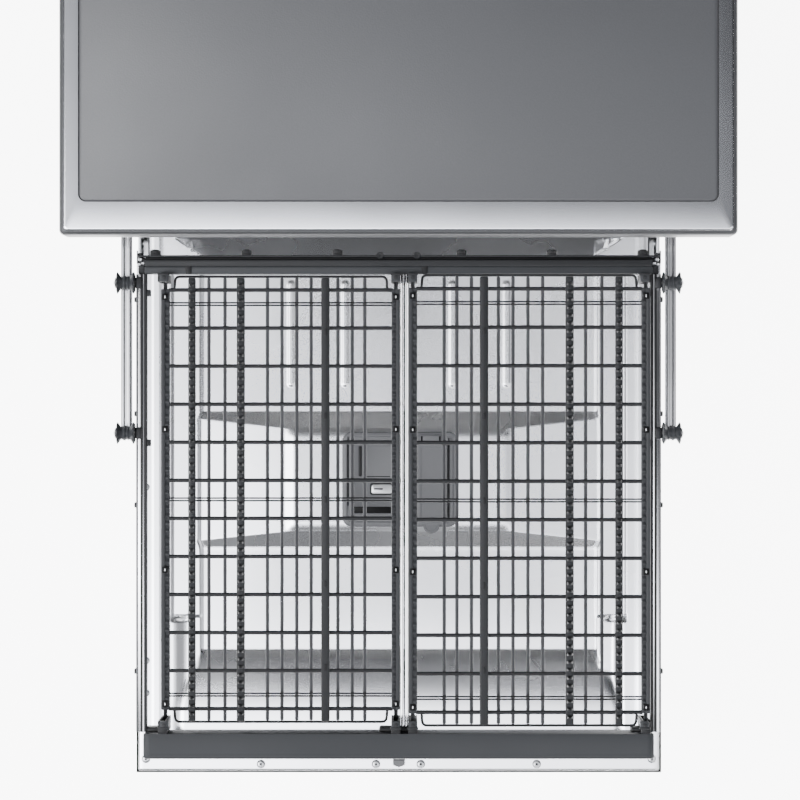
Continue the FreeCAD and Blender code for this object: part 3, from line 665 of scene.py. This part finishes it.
p = Piece()
for x in (-216, -2.5, 13.0, 226.5):
    xc = x - math.copysign(1.8, x) if abs(x) > 100 else x
    for y0, y1, f in ((-52.6, -44.6, 1), (-461.2, -453.6, -1)):
        for a, b in ((x - 4.2, x - 2.1), (x + 2.1, x + 4.2)):
            p.box(a, b, y0, y1, 726, 767, "dark", 0.5, r=0.7)
        p.box(x - 4.2, x + 4.2, y0, y1, 725, 729, "dark", 0.6)
        p.box(xc - 4.1, xc + 4.1, y0, y1, 765.6, 769.2, "bar", 0.7, r=1.2)
        p.box(xc - 5.0, xc + 5.0, y1 - 1.9 if f > 0 else y0, y1 if f > 0 else y0 + 1.9, 766, 769.9, "rodp",
                0.4, r=0.6)
        p.lathe((xc, (y0 + y1) / 2, 768.8), (0, 0, 1), [(0, 2.2), (0.9, 2.1), (1.1, 1.2)], "rodp", 16)
    p.box(x - 4.2, x + 4.2, -466, -460.8, 726, 764, "dark", 0.5, r=0.7)
p.build("slotted_posts", "third_rack", ("tray_posts",))


# ---------------------------------------------------------------- trays
def tray(prefix, wz, x_out, x_in):
    d = 1 if x_in > x_out else -1
    y0, y1 = -446.5, -58.5
    mid = (y0 + y1) / 2
    w = Piece()
    # side rods: a flat bar with a toothed ridge along its inner half, tapered necks and clips
    for x in (x_out, x_in):
        inner = 1 if (x_out + x_in) / 2 > x else -1
        w.box(x - 4.1, x + 4.1, y0 - 1, y1 + 1, wz - 3.6, wz + 1.8, "railp", 0.8, r=1.2)
        xr = x - inner * 2.0
        w.box(xr - 1.9, xr + 1.9, y0 - 0.6, y1 + 0.6, wz + 1.2, wz + 4.0, "railp", 0.7, r=1.0)
        rings = []
        n = 424
        for i in range(n + 1):
            y = y0 + (y1 - y0) * i / n
            wave = 0.5 + 0.5 * math.cos(math.tau * y / 7.05)
            top = wz + 2.0 + 1.9 * wave
            xc = x + inner * 1.9
            q = 1.2 + 0.75 * wave
            rings.append([(xc - q, y, wz + 1.0), (xc + q, y, wz + 1.0), (xc + q, y, top - 0.4),
                    (xc + q * 0.5, y, top),
                          (xc - q * 0.5, y, top), (xc - q, y, top - 0.4)])
        w.loft(rings, "railp")
        w.tube([(x - 0.9, y1, wz), (x - 0.9, -47.4, wz)], 1.0, "wire", 12)
        w.tube([(x + 0.9, y1, wz), (x + 0.9, -47.4, wz)], 1.0, "wire", 12)
        w.tube([(x - 0.9, y0, wz), (x - 0.9, -463, wz)], 1.0, "wire", 12)
        w.tube([(x + 0.9, y0, wz), (x + 0.9, -463, wz)], 1.0, "wire", 12)
        for q in (y1 - 6.5, mid + 65, mid - 65, y0 + 5.0):
            w.box(x - 2.8, x + 2.8, q - 3.0, q + 3.0, wz + 2.4, wz + 4.7, "fascia", 0.3, r=0.8)
            # the small silver piece on each black clip stands in for the clip's glint: painted highlight
            w.box(x - 0.45, x + 0.45, q - 1.2, q + 1.2, wz + 4.3, wz + 5.0, "label", 0.15, r=0.3)
    a = min(x_out, x_in) + 2.6
    b = max(x_out, x_in) - 2.6
    pitch = (y1 - y0) / 11.0
    rows = [y1 - i * pitch for i in range(12)]
    for y in rows:
        w.tube([(a, y, wz), (b, y, wz)], 1.9, "wire", 10)
    for y in (mid - 181, mid, mid + 181):
        for dy in (-1.2, 1.2):
            w.tube([(a, y + dy, wz - 0.2), (b, y + dy, wz - 0.2)], 0.8, "wire", 8)
    lz = wz - 3.12
    for off in (40, 54.9, 94.3, 107.7, 121.5, 134.8, 159.6, 173, 184.6):
        x = x_out + d * off
        wavy = off in (107.7, 134.8, 159.6)
        pts = []
        m = 132 if wavy else 12
        for i in range(m + 1):
            y = y0 - 11.2 + (y1 - y0 + 22.4) * i / m
            z = lz
            if wavy:
                z = lz - 3.2 * (0.5 - 0.5 * math.cos(math.tau * (y - y0) / pitch))
            pts.append((x, y, z))
        w.tube(pts, 1.7, "wire2", 8)
    # end loops
    for s in (1, -1):
        ye = y1 + 12.5 if s > 0 else y0 - 12.5
        yr = y1 - 1.5 if s > 0 else y0 + 1.5
        xa = min(x_out, x_in) + 9.0
        xb = max(x_out, x_in) - 9.0
        pts = fillet([(xa - 1.2, yr, lz), (xa, ye, lz), (xb, ye, lz), (xb + 1.2, yr, lz)], 4.2, 6)
        w.tube(pts, 1.25, "wire", 8)
    w.build(prefix + "_tray_lattice", prefix + "_tray", (prefix + "_tray_wires",))

    c = Piece()
    x = x_out + d * 148.3
    c.box(x - 3.95, x + 3.95, y0 - 11, y1 + 11, wz + 1.8, wz + 5.6, "rodp", 1.0, r=1.5)
    for q in (0.1, 0.3, 0.5, 0.7, 0.9):
        y = y0 + (y1 - y0) * q
        c.box(x - 1.4, x + 1.4, y - 3.2, y + 3.2, wz + 5.2, wz + 6.1, "dark", 0.3, r=0.8)
    for off, cw in ((24.8, 7.0), (70.0, 7.6)):
        x = x_out + d * off
        c.box(x - cw / 2, x + cw / 2, y0 - 11, y1 + 11, wz + 1.8, wz + 5.0, "rodp", 0.8, r=1.2)
        n = 56
        for i in range(n):
            y = y0 - 4 + (y1 - y0 + 8) * i / (n - 1.0)
            top = cw / 2 - 1.0
            rings = []
            for h, u, v in ((4.6, 1.0, 1.0), (6.5, 0.92, 0.9), (9.6, 0.72, 0.66), (10.8, 0.5, 0.4),
                    (11.0, 0.3, 0.2)):
                rings.append([(q1, q2, wz + h) for q1, q2 in rr(x - top * u, x + top * u, y - 1.5 * v,
                        y + 1.5 * v, 0.5, 2)])
            c.loft(rings, "rodp")
            if i % 5 != 2:
                e = (0.9, -1.1, 0.3, 1.6, -0.4)[i % 5]
                c.lathe((x + e, y + 3.5, wz + 4.7), (0, 0, 1), [(0, 0.9), (0.7, 0.8), (1.0, 0.4)], "bar", 8)
    c.build(prefix + "_tray_tooth_bars", prefix + "_tray", (prefix + "_tray_combs",))


tray("left", 735.0, -216.0, -2.5)
tray("right", 760.0, 226.5, 13.0)

# ---------------------------------------------------------------- rollers and guide rails
for side, s in (("left", -1), ("right", 1)):
    for pos in ("rear", "front"):
        node = side + "_" + pos + "_roller"
        rlo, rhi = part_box(node)
        y = (rlo[1] + rhi[1]) / 2 / MM
        z = (rlo[2] + rhi[2]) / 2 / MM
        p = Piece()
        prof = [(242.3, 3.2), (242.3, 8.2), (243.2, 9.9), (244.0, 10.0), (245.6, 7.4), (247.0, 6.0),
                (248.4, 6.6), (249.0, 5.6),
                (250.6, 5.6), (251.2, 6.8), (253.0, 6.8), (253.6, 5.4), (255.4, 6.0), (257.0, 8.4), (258.2,
                        10.0), (258.9, 9.9),
                (259.3, 7.0), (259.4, 4.9), (260.5, 4.7), (260.9, 3.8), (260.9, 1.0)]
        prof = [(a * s, r) for a, r in prof]
        p.lathe((0, y, z), (1, 0, 0), prof, "bar", 40, wob=lambda k,
                r: 0.88 if (r > 8.0 and k % 4 < 2) else 1.0)
        p.build(node + "_wheel", node, (node,))
    node = side + "_guide_rail"
    glo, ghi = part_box(node)
    y0, y1 = glo[1] / MM, ghi[1] / MM
    p = Piece()
    prof = [(247, 732.2), (247.6, 731.9), (255.4, 731.9), (256, 732.5), (256, 744.4), (255.4, 745.0),
            (253.9, 745.0), (253.5, 744.1),
            (250.2, 744.1), (249.8, 745.0), (247.5, 745.0), (247, 744.5), (247, 743.4), (254.4,
                    743.2), (254.4, 733.6), (247, 733.4)]
    prof = [(x * s, z) for x, z in prof]
    if s < 0:
        prof = prof[::-1]
    m = 24
    rings = [[(x, y0 + (y1 - y0) * i / m, z) for x, z in prof] for i in range(m + 1)]
    p.loft(rings[::-1], "bright")
    for a, b in ((247.2, 248.3), (252.4, 253.3), (255.3, 256.0)):
        p.box(*bx(s, a, b), y0 + 0.5, y1 - 0.5, 743.9, 745.15, "groove", 0.15)
    p.box(*bx(s, 247.2, 255.8), y0 - 0.0, y0 + 2.2, 732.2, 744.8, "dark", 0.6, r=1.0)
    p.build(node + "_profile", node, (node,))
part_material("rail_holders", "dark")

# ---------------------------------------------------------------- tub, seal, rear wall details
t = Piece()
for s in (-1, 1):
    x0, x1 = bx(s, 270, 271.2)
    t.box(x0, x1, 37, 540, 205, 782, "tubsteel", 0.3)
    x0, x1 = bx(s, 270.2, 296)
    t.box(x0, x1, 37, 38.2, 230, 817, "tubsteel", 0.4, r=0.4)
    x0, x1 = bx(s, 246, 270)
    t.box(x0, x1, 39, 540, 218.3, 219.5, "tubsteel", 0.4)
    x0, x1 = bx(s, 246, 247.2)
    t.box(x0, x1, 39, 540, 205, 218.6, "tubsteel", 0.4)
    # pressed rack guides along the side walls
    for z in (430, 620):
        x0, x1 = bx(s, 268.2, 270.2)
        t.box(x0, x1, 60, 520, z - 5, z + 5, "tubsteel", 0.8, r=4)
    x0, x1 = bx(s, 9, 271.2)
    t.box(x0, x1, 37, 38.2, 783, 817, "tubsteel", 0.4)
t.box(-271.2, 271.2, 37, 540, 782, 783.2, "tubsteel", 0.3)
t.box(-271.2, 271.2, 540, 541.2, 205, 783.2, "tubsteel", 0.3)
t.box(-9, 9, 37, 38.2, 783, 790.5, "tubsteel", 0.3)
t.box(-9, 9, 37, 38.2, 804, 817, "tubsteel", 0.3)
for x in (-170, -85, 85, 170):
    t.box(x - 16, x + 16, 537.8, 540.2, 300, 700, "tubsteel", 0.9, r=10, up="y")
# floor as a dished sheet with the sump opening
rings = []
for k, (r, z) in enumerate(((93, 203.9), (98, 205.0), (150, 205.2))):
    rings.append([(r * math.cos(math.tau * i / 64), 285 + r * math.sin(math.tau * i / 64),
            z) for i in range(64)])
sq = []
for i in range(64):
    a = math.tau * i / 64
    c, sn = math.cos(a), math.sin(a)
    q = min(246 / abs(c) if abs(c) > 1e-6 else 1e9,
            (254 if sn > 0 else 246) / abs(sn) if abs(sn) > 1e-6 else 1e9)
    sq.append((q * c, 285 + q * sn, 205.4))
rings.append(sq)
t.loft(rings, "tubsteel", cap0=False, cap1=False)
t.box(-270, 270, 37.8, 39, 200, 215, "tubsteel", 0.4)
t.build("tub_pressing", "cabinet", ("tub",))

p = Piece()
for s in (-1, 1):
    pts = [(275 * s, 35.4, 232 + (782 - 232) * i / 20.0) for i in range(21)]
    p.tube(pts, 1.5, "rubber", 10)
    x0, x1 = bx(s, 271.4, 279)
    p.box(x0, x1, 35.4, 36.9, 232, 788, "rubber", 0.4)
p.tube([(-277, 35.4, 786), (277, 35.4, 786)], 1.5, "rubber", 10)
p.box(-279, 279, 35.4, 36.9, 782.2, 789.6, "rubber", 0.4)
p.build("door_seal_lips", "cabinet", ("tub_seal",))

# ---------------------------------------------------------------- cabinet outside
p = Piece()
for s in (-1, 1):
    prof = [(86.0, 138.2), (575, 138.2), (575, 817.8), (36, 817.8), (36, 222), (86, 222)]
    x0, x1 = bx(s, 297.4, 298.6)
    a = [(x0, y, z) for y, z in prof]
    b = [(x1, y, z) for y, z in prof]
    p.loft([a, b], "paint")
    # rolled bead and stiffening press lines
    for z in (300, 660):
        xa, xb = bx(s, 298.2, 299.0)
        p.box(xa, xb, 110, 540, z - 22, z + 22, "paint", 0.25, r=20, up="x")
    xa, xb = bx(s, 283, 297.5)
    p.box(xa, xb, 564, 565.2, 138, 818, "paint", 0.4)
    for z in (170, 470, 780):
        p.lathe((292 * s, 575.0, z), (0, 1, 0), [(-2, 4), (0.2, 4), (0.9, 3.0), (1.0, 0.6)], "zinc", 16)
p.build("side_sheets", "cabinet", ("side_panels",))
p = Piece()
p.box(-297, 297, 573.4, 574.6, 138.2, 817.8, "paint", 0.4)
for z in (250, 480, 710):
    p.box(-240, 240, 574.3, 576.2, z - 60, z + 60, "paint", 0.7, r=30, up="y", n=6)
for i in range(14):
    p.box(-130 + i * 20, -124 + i * 20, 574.4, 575.4, 190 - 22, 190 + 12, "dark", 0.3, r=2.5, up="y")
p.build("rear_sheet", "cabinet", ("rear_panel",))
p = Piece()
p.box(-297, 297, 46, 49, 16, 136, "paint", 0.8, r=1.0)
for i in range(22):
    p.box(-150 + i * 14, -144 + i * 14, 45.6, 46.4, 40, 70, "dark", 0.2, r=2, up="y")
p.build("kick_plate", "cabinet", ("plinth",))
p = Piece()
p.box(-297, 297, 62, 572, 25, 28, "dark", 0.8)
p.box(-297, 297, 569, 572, 27, 138, "dark", 0.8)
for s in (-1, 1):
    x0, x1 = bx(s, 294, 297)
    p.box(x0, x1, 62, 570, 27, 138, "dark", 0.8)
    for i in range(9):
        y = 100 + i * 52
        xa, xb = bx(s, 296.2, 298.0)
        p.box(xa, xb, y - 3, y + 3, 34, 130, "dark", 0.6, r=1.5)
    x0, x1 = bx(s, 293.0, 296.4)
    p.box(x0, x1, 6.7, 110, 190, 226, "zinc", 0.5)
    p.box(x0, x1, 88, 110, 137, 191, "zinc", 0.5)
    p.lathe((296.2 * s, 18.7, 205.6), (s, 0, 0), [(0, 9), (0.6, 9), (0.8, 6.2), (0.8, 5.3)], "zinc", 24)
    xa = -250 if s < 0 else 250
    for y in (110, 520):
        p.box(xa - 30, xa + 30, y - 3, y + 3, 27.5, 45, "dark", 1)
p.box(-180, 180, 500, 560, 28, 58, "grey", 2.0, r=3)
p.build("base_pan", "cabinet", ("base_tray",))
p = Piece()
for x in (-262, 262):
    for y in (84, 545):
        p.lathe((x, y, 0), (0, 0, 1), [(0, 19), (1.2, 20), (5.5, 20), (8, 17), (8, 8), (12, 7.6), (12, 6)] +
                [(12 + i * 1.0, 6.0 if i % 2 else 5.2) for i in range(1, 13)], "dark", 36,
                wob=lambda k, r: 0.965 if (r > 19.5 and k % 3 == 0) else 1.0)
p.build("screw_feet", "cabinet", ("levelling_feet",))

# ---------------------------------------------------------------- water system
p = Piece()
prof = [(112, 60), (113, 78), (118, 87), (126, 91.4), (196, 91.4), (204.4, 91.6), (204.4, 89.9),
        (201.2, 89.7), (201.0, 87.6),
        (128, 87.0), (120, 82), (116, 60), (116, 5)]
p.lathe((0, 285, 0), (0, 0, 1), prof, "grey", 48)
p.build("sump_bowl", "cabinet", ("sump",))
p = Piece()
# filter plate: a dished ring from the cup hole out to the round rim


def hole_ring(z, r):
    out = []
    for i in range(72):
        a = math.tau * i / 72
        out.append((40 + r * math.cos(a), 250 + r * math.sin(a), z))
    return out


def outer_ring(z, r):
    out = []
    for i in range(72):
        a = math.tau * i / 72
        # the rim is centred behind the cup, so each ray from the cup centre has its own length
        dx, dy = math.cos(a), math.sin(a)
        cx, cy = 40.0, -35.0
        bq = cx * dx + cy * dy
        q = -bq + math.sqrt(max(0.0, bq * bq - (cx * cx + cy * cy - r * r)))
        out.append((40 + q * dx, 250 + q * dy, z))
    return out


p.loft([hole_ring(201.3, 30.6), hole_ring(204.2, 30.6), hole_ring(204.4, 33.0), outer_ring(204.0, 60),
        outer_ring(204.4, 88.4),
        outer_ring(203.4, 89.3), outer_ring(201.3, 89.3)], "zinc", cap0=False, cap1=False)
p.lathe((0, 285, 0), (0, 0, 1), [(204, 20), (206, 14), (212, 11), (236.2, 11), (236.2, 8), (256.4, 8),
        (256.4, 11.6), (257.4, 12),
                                 (258.3, 11)], "grey", 36)
p.build("filter_screen", "cabinet", ("filter_plate",))
p = Piece()
prof = [(123.2, 26), (123.2, 29.4), (125, 30), (204.6, 30), (204.8, 32.4), (206, 33), (208.2, 32.4),
        (208.4, 27.2), (204, 26.9),
        (126, 27.4), (125.4, 5)]
p.lathe((40, 250, 0), (0, 0, 1), prof, "grey", 40)
p.box(36.6, 43.4, 223, 277, 208, 215.6, "grey", 1.4, r=3)
p.box(35.0, 45.0, 244, 256, 207, 214, "grey", 1.2, r=4)
p.build("filter_cup_body", "filter_cup", ("filter_cup",))


def spray_arm(name, node, half, hwid, zc, th, hub_r):
    q = Piece()
    rings = []
    n = 60
    for i in range(n + 1):
        u = -1 + 2 * i / n
        x = half * u
        w = hwid * (1 - 0.45 * abs(u)) * math.sqrt(max(0.0, 1 - abs(u) ** 14))
        w = max(w, 0.4)
        h = th * (1 - 0.25 * abs(u)) * (1 if abs(u) < 0.97 else 0.75)
        ring = []
        for k in range(16):
            a = math.tau * k / 16
            ca, sa = math.cos(a), math.sin(a)
            ring.append((x, 285 + w * math.copysign(abs(ca) ** 0.8, ca),
                    zc + h / 2 * math.copysign(abs(sa) ** 0.7, sa)))
        rings.append(ring)
    q.loft(rings, "grey")
    for i in range(1, 6):
        for s in (-1, 1):
            x = s * half * (0.16 + 0.155 * i)
            y = 285 + (3 if i % 2 else -3) * s
            q.lathe((x, y, zc + th * 0.36), (0, 0, 1), [(0, 3.6), (1.2, 3.2), (1.5, 2.0), (1.1, 1.4)],
                    "dark", 14)
    prof = [(-th * 0.6, hub_r + 1.2), (-th * 0.6, 17), (-th * 0.3, 20), (th * 0.4, 19), (th * 0.75, 14),
            (th * 0.75, hub_r + 1.2)]
    q.lathe((0, 285, zc), (0, 0, 1), prof, "grey", 32)
    q.build(name, node, (node,))


spray_arm("lower_arm_moulding", "lower_spray_arm", 220, 24, 246, 11, 8)
spray_arm("middle_arm_moulding", "middle_spray_arm", 143, 17, 453.5, 8, 7)

p = Piece()
pts = fillet([(0, 535.2, 207), (0, 535.2, 500), (0, 535.2, 775)], 5)
p.box(-21, 21, 531.2, 539.8, 206, 781.5, "grey", 2.5, r=3.5)
p.box(-15.5, 15.5, 300, 533, 774.2, 781.8, "grey", 2.0, r=3)
p.lathe((0, 285, 771.6), (0, 0, 1), [(0, 30), (0.9, 32), (2.4, 31), (4, 18), (10.2, 15)], "grey", 40)
for i in range(10):
    a = math.tau * i / 10
    p.lathe((22 * math.cos(a), 285 + 22 * math.sin(a), 771.9), (0, 0, -1), [(0, 2.2), (0.35, 1.8),
            (0.1, 0.8)], "dark", 10)
p.lathe((0, 524.5, 466.5), (0, 1, 0), [(0, 10), (0.2, 13), (6.8, 13)], "dark", 28)
for z in (260, 330, 400, 540, 610, 680):
    p.box(-17, 17, 530.4, 532, z - 3, z + 3, "grey", 0.6, r=2, up="y")
p.build("riser_duct", "cabinet", ("water_feed_pipe",))
for node, key in (("pumps", "dark"), ("salt_tank", "white"), ("water_connections", "grey"),
        ("door_catch", "dark"),
                  ("upper_rack_rails", "zinc"), ("left_telescopic_rail", "bright"), ("right_telescopic_rail",
                          "bright")):
    part_material(node, key)
p = Piece()
p.lathe((-150, 410, 0), (0, 0, 1), [(196, 25), (207.3, 25.4), (207.4, 31), (209, 33), (214.5, 33),
        (216.2, 31), (216.4, 6)], "white", 48,
        wob=lambda k, r: 0.97 if (r > 32.5 and k % 4 == 0) else 1.0)
p.box(-177, -123, 406.4, 413.6, 215.5, 225.6, "white", 2.0, r=3.4)
p.build("salt_cap_knob", "salt_cap", ("salt_cap",))


# ---------------------------------------------------------------- racks
def basket(q, x1, y0, y1, z0, z1, nx_, ny_, rr_, rw):
    """Bent-wire basket: rounded rims, U-shaped wires both ways."""
    for z in (z1, (z0 + z1) / 2):
        loop = rr(-x1, x1, y0, y1, 22, 8)
        pts = [(x, y, z) for x, y in loop]
        pts.append(pts[0])
        pts.append(pts[1])
        q.tube(pts, rr_ if z == z1 else rr_ * 0.8, "wire", 10, ends=False)
    off = rr_ + rw - 0.1
    for i in range(nx_):
        x = -x1 + 24 + (2 * x1 - 48) * i / (nx_ - 1.0)
        q.tube(fillet([(x, y0 + off, z1 + 1.6), (x, y0 + off, z0), (x, y1 - off, z0), (x, y1 - off,
                z1 + 1.6)], 12, 5), rw, "wire", 8)
    for j in range(ny_):
        y = y0 + 24 + (y1 - y0 - 48) * j / (ny_ - 1.0)
        zc = z0 - 2 * rw + 0.1
        q.tube(fillet([(-x1 + off, y, z1 + 1.6), (-x1 + off, y, zc), (x1 - off, y, zc), (x1 - off, y,
                z1 + 1.6)], 12, 5), rw, "wire", 8)


p = Piece()
basket(p, 240, 56, 515, 480, 590, 11, 12, 2.6, 1.9)
for s in (-1, 1):
    x0, x1 = bx(s, 242.6, 245)
    p.box(x0, x1, 62, 500, 532, 558, "zinc", 0.5)
    x0, x1 = bx(s, 244.6, 256)
    p.box(x0, x1, 62, 500, 546, 556, "zinc", 0.8, r=1)
    for y in (90, 470):
        x0, x1 = bx(s, 238.5, 243)
        p.box(x0, x1, y - 14, y + 14, 528, 562, "bar", 1.2, r=2)
p.box(-8.6, 8.6, 290, 522.8, 461.2, 471.8, "grey", 3.0, r=4)
p.lathe((0, 285, 0), (0, 0, 1), [(445, 9), (446, 11), (448.4, 11), (448.5, 7), (459.5, 7), (460, 14),
        (462, 15), (472, 15),
                                 (473.4, 12)], "grey", 32)
for k in (-70, 70):
    for i in range(9):
        y = 95 + i * 48
        p.tube(fillet([(k, y - 9, 478), (k, y - 7, 545), (k, y + 7, 545), (k, y + 9, 478)], 8, 4), 1.6,
                "wire", 8)
p.build("upper_basket", "upper_rack", ("upper_rack_basket",))
p = Piece()
for x in (-230, -150):
    p.tube([(x, 120, 566), (x, 450, 566)], 2.2, "wire", 10)
for i in range(12):
    y = 123 + i * 324 / 11.0
    p.tube([(-230, y, 566), (-212, y, 566.8), (-165, y, 566.8), (-150, y, 566)], 1.6, "wire", 8)
p.tube(fillet([(-150, 123, 566), (-146.5, 200, 567), (-146.5, 370, 567), (-150, 447, 566)], 30, 6), 1.8,
        "wire", 8)
p.build("cup_shelf_wires", "cup_shelf", ("cup_shelf",))

p = Piece()
basket(p, 246, 56, 516, 272, 400, 12, 12, 2.9, 2.2)
for s in (-1, 1):
    for y in (110, 462):
        x0, x1 = bx(s, 248.4, 251.9)
        p.box(x0, x1, y - 9, y + 9, 229, 340, "bar", 1.0, r=3, up="x")
        p.lathe((251.9 * s, y, 238.7), (s, 0, 0), [(-0.5, 6), (0.6, 6), (0.8, 2.95), (14, 2.95), (14.2, 2)],
                "zinc", 18)
for x in (60.0, 150.0):
    for i in range(12):
        y = 110 + i * 350 / 11.0
        p.tube([(x, y, 272), (x, y, 350), (x, y, 360)], lambda u: 2.0, "wire", 8)
p.box(-70, 70, 52.4, 55.2, 372, 400, "bar", 1.2, r=8, up="y", n=6)
p.build("lower_basket", "lower_rack", ("lower_rack_basket",))
p = Piece()
p.tube([(-150, 100, 279.5), (-150, 470, 279.5)], 2.5, "wire", 10)
for i in range(12):
    y = 110 + i * 350 / 11.0
    p.tube([(-150, y, 279.5), (-150, y, 350), (-150, y, 360)], 2.0, "wire", 8)
p.build("folding_tine_row", "lower_rack_tines", ("lower_rack_tines",))
for side, s in (("left", -1), ("right", 1)):
    for pos in ("front", "rear"):
        node = side + "_" + pos + "_wheel"
        rlo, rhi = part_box(node)
        y = (rlo[1] + rhi[1]) / 2 / MM
        z = (rlo[2] + rhi[2]) / 2 / MM
        p = Piece()
        prof = [(253.3, 3.2), (253.3, 17.5), (254.4, 19), (261.0, 19), (262.1, 17.6), (262.1, 15.6),
                (259.4, 15.2), (259.4, 7), (262.0, 6.4),
                (262.0, 3.3)]
        p.lathe((0, y, z), (1, 0, 0), [(a * s, r) for a, r in prof], "bar", 40)
        for k in range(6):
            a = math.tau * k / 6
            c, sn = math.cos(a), math.sin(a)
            p.tube([(260.6 * s, y + 6.5 * c, z + 6.5 * sn), (260.6 * s, y + 15.4 * c, z + 15.4 * sn)], 1.1,
                    "bar", 8)
        p.build(node + "_tread", node, (node,))

# ---------------------------------------------------------------- stage
FLOOR_HALF = 40
FLOOR_GLOW = 7.5
CAMERA_HEIGHT = 2.985
CAMERA_X = 0.0013
CAMERA_Y = -0.1604
LENS_MM = 109.26
SENSOR_MM = 36
# brightness of the dome is the exponential of these, from the front or left edge to the back or right edge
FRONT_LOG, BACK_LOG = 2.35, -1.2
LEFT_LOG, RIGHT_LOG = 0.35, -1.35
SIDE_WEIGHT_FRONT = 0.63
SKY_TINT = (("Red", 0.95), ("Green", 0.965), ("Blue", 1.02))

fm, _, fb = nodes_of("studio_floor")
fb.inputs["Base Color"].default_value = (0.93, 0.93, 0.93, 1)
fb.inputs["Roughness"].default_value = 0.9
fb.inputs["Emission Color"].default_value = (1, 1, 1, 1)
fb.inputs["Emission Strength"].default_value = FLOOR_GLOW
me = bpy.data.meshes.new("studio_floor")
H = FLOOR_HALF
me.from_pydata([(-H, -H, 0), (H, -H, 0), (H, H, 0), (-H, H, 0)], [], [(0, 1, 2, 3)])
me.materials.append(fm)
fl = bpy.data.objects.new("studio_floor", me)
bpy.context.scene.collection.objects.link(fl)

world = bpy.data.worlds.new("studio")
world.use_nodes = True
bpy.context.scene.world = world
wn = world.node_tree
bg = wn.nodes["Background"]
tc = wn.nodes.new("ShaderNodeTexCoord")
sep = wn.nodes.new("ShaderNodeSeparateXYZ")
wn.links.new(tc.outputs["Generated"], sep.inputs[0])


def ranged(out, f0, f1, t0, t1, kind="LINEAR"):
    n = wn.nodes.new("ShaderNodeMapRange")
    n.interpolation_type = kind
    n.inputs["From Min"].default_value = f0
    n.inputs["From Max"].default_value = f1
    n.inputs["To Min"].default_value = t0
    n.inputs["To Max"].default_value = t1
    wn.links.new(out, n.inputs["Value"])
    return n.outputs["Result"]


def math_node(op, a, b=None):
    n = wn.nodes.new("ShaderNodeMath")
    n.operation = op
    wn.links.new(a, n.inputs[0])
    if b is not None:
        wn.links.new(b, n.inputs[1])
    return n.outputs[0]


# soft studio dome: bright overhead, a little brighter towards the front and the left, dim near the horizon
front = math_node("EXPONENT", ranged(sep.outputs["Y"], -0.14, 0.165, FRONT_LOG, BACK_LOG))
side = ranged(sep.outputs["Y"], -0.10, -0.03, SIDE_WEIGHT_FRONT, 1.0)
across = ranged(sep.outputs["X"], -0.15, 0.15, LEFT_LOG, RIGHT_LOG)
left = math_node("EXPONENT", math_node("MULTIPLY", across, side))
high = ranged(sep.outputs["Z"], 0.55, 0.97, 0.20, 1.0, "SMOOTHSTEP")
near = ranged(sep.outputs["Y"], -0.46, -0.22, 0.03, 1.0, "SMOOTHSTEP")
sky = math_node("MULTIPLY", math_node("MULTIPLY", front, left), math_node("MULTIPLY", high, near))
comb = wn.nodes.new("ShaderNodeCombineColor")
for ch, tint in SKY_TINT:
    part = wn.nodes.new("ShaderNodeMath")
    part.operation = "MULTIPLY"
    part.inputs[1].default_value = tint
    wn.links.new(sky, part.inputs[0])
    wn.links.new(part.outputs[0], comb.inputs[ch])
wn.links.new(comb.outputs["Color"], bg.inputs["Color"])
bg.inputs["Strength"].default_value = 1.0


def area(name, loc, size, power, target=(0, -0.1, 0.5)):
    ld = bpy.data.lights.new(name, "AREA")
    ld.shape = "RECTANGLE"
    ld.size = size[0]
    ld.size_y = size[1]
    ld.energy = power
    o = bpy.data.objects.new(name, ld)
    o.location = loc
    o.rotation_euler = (Vector(target) - Vector(loc)).to_track_quat("-Z", "Y").to_euler()
    bpy.context.scene.collection.objects.link(o)
    return o


area("key", (-1.9, -0.6, 3.2), (1.6, 1.6), 55)
area("fill", (1.6, -2.2, 2.2), (1.8, 1.2), 25)

cam = bpy.data.cameras.new("main")
cam.sensor_width = SENSOR_MM
cam.lens = LENS_MM
co = bpy.data.objects.new("main", cam)
co.location = (CAMERA_X, CAMERA_Y, CAMERA_HEIGHT)
co.rotation_euler = (0, 0, 0)
bpy.context.scene.collection.objects.link(co)
bpy.context.scene.camera = co
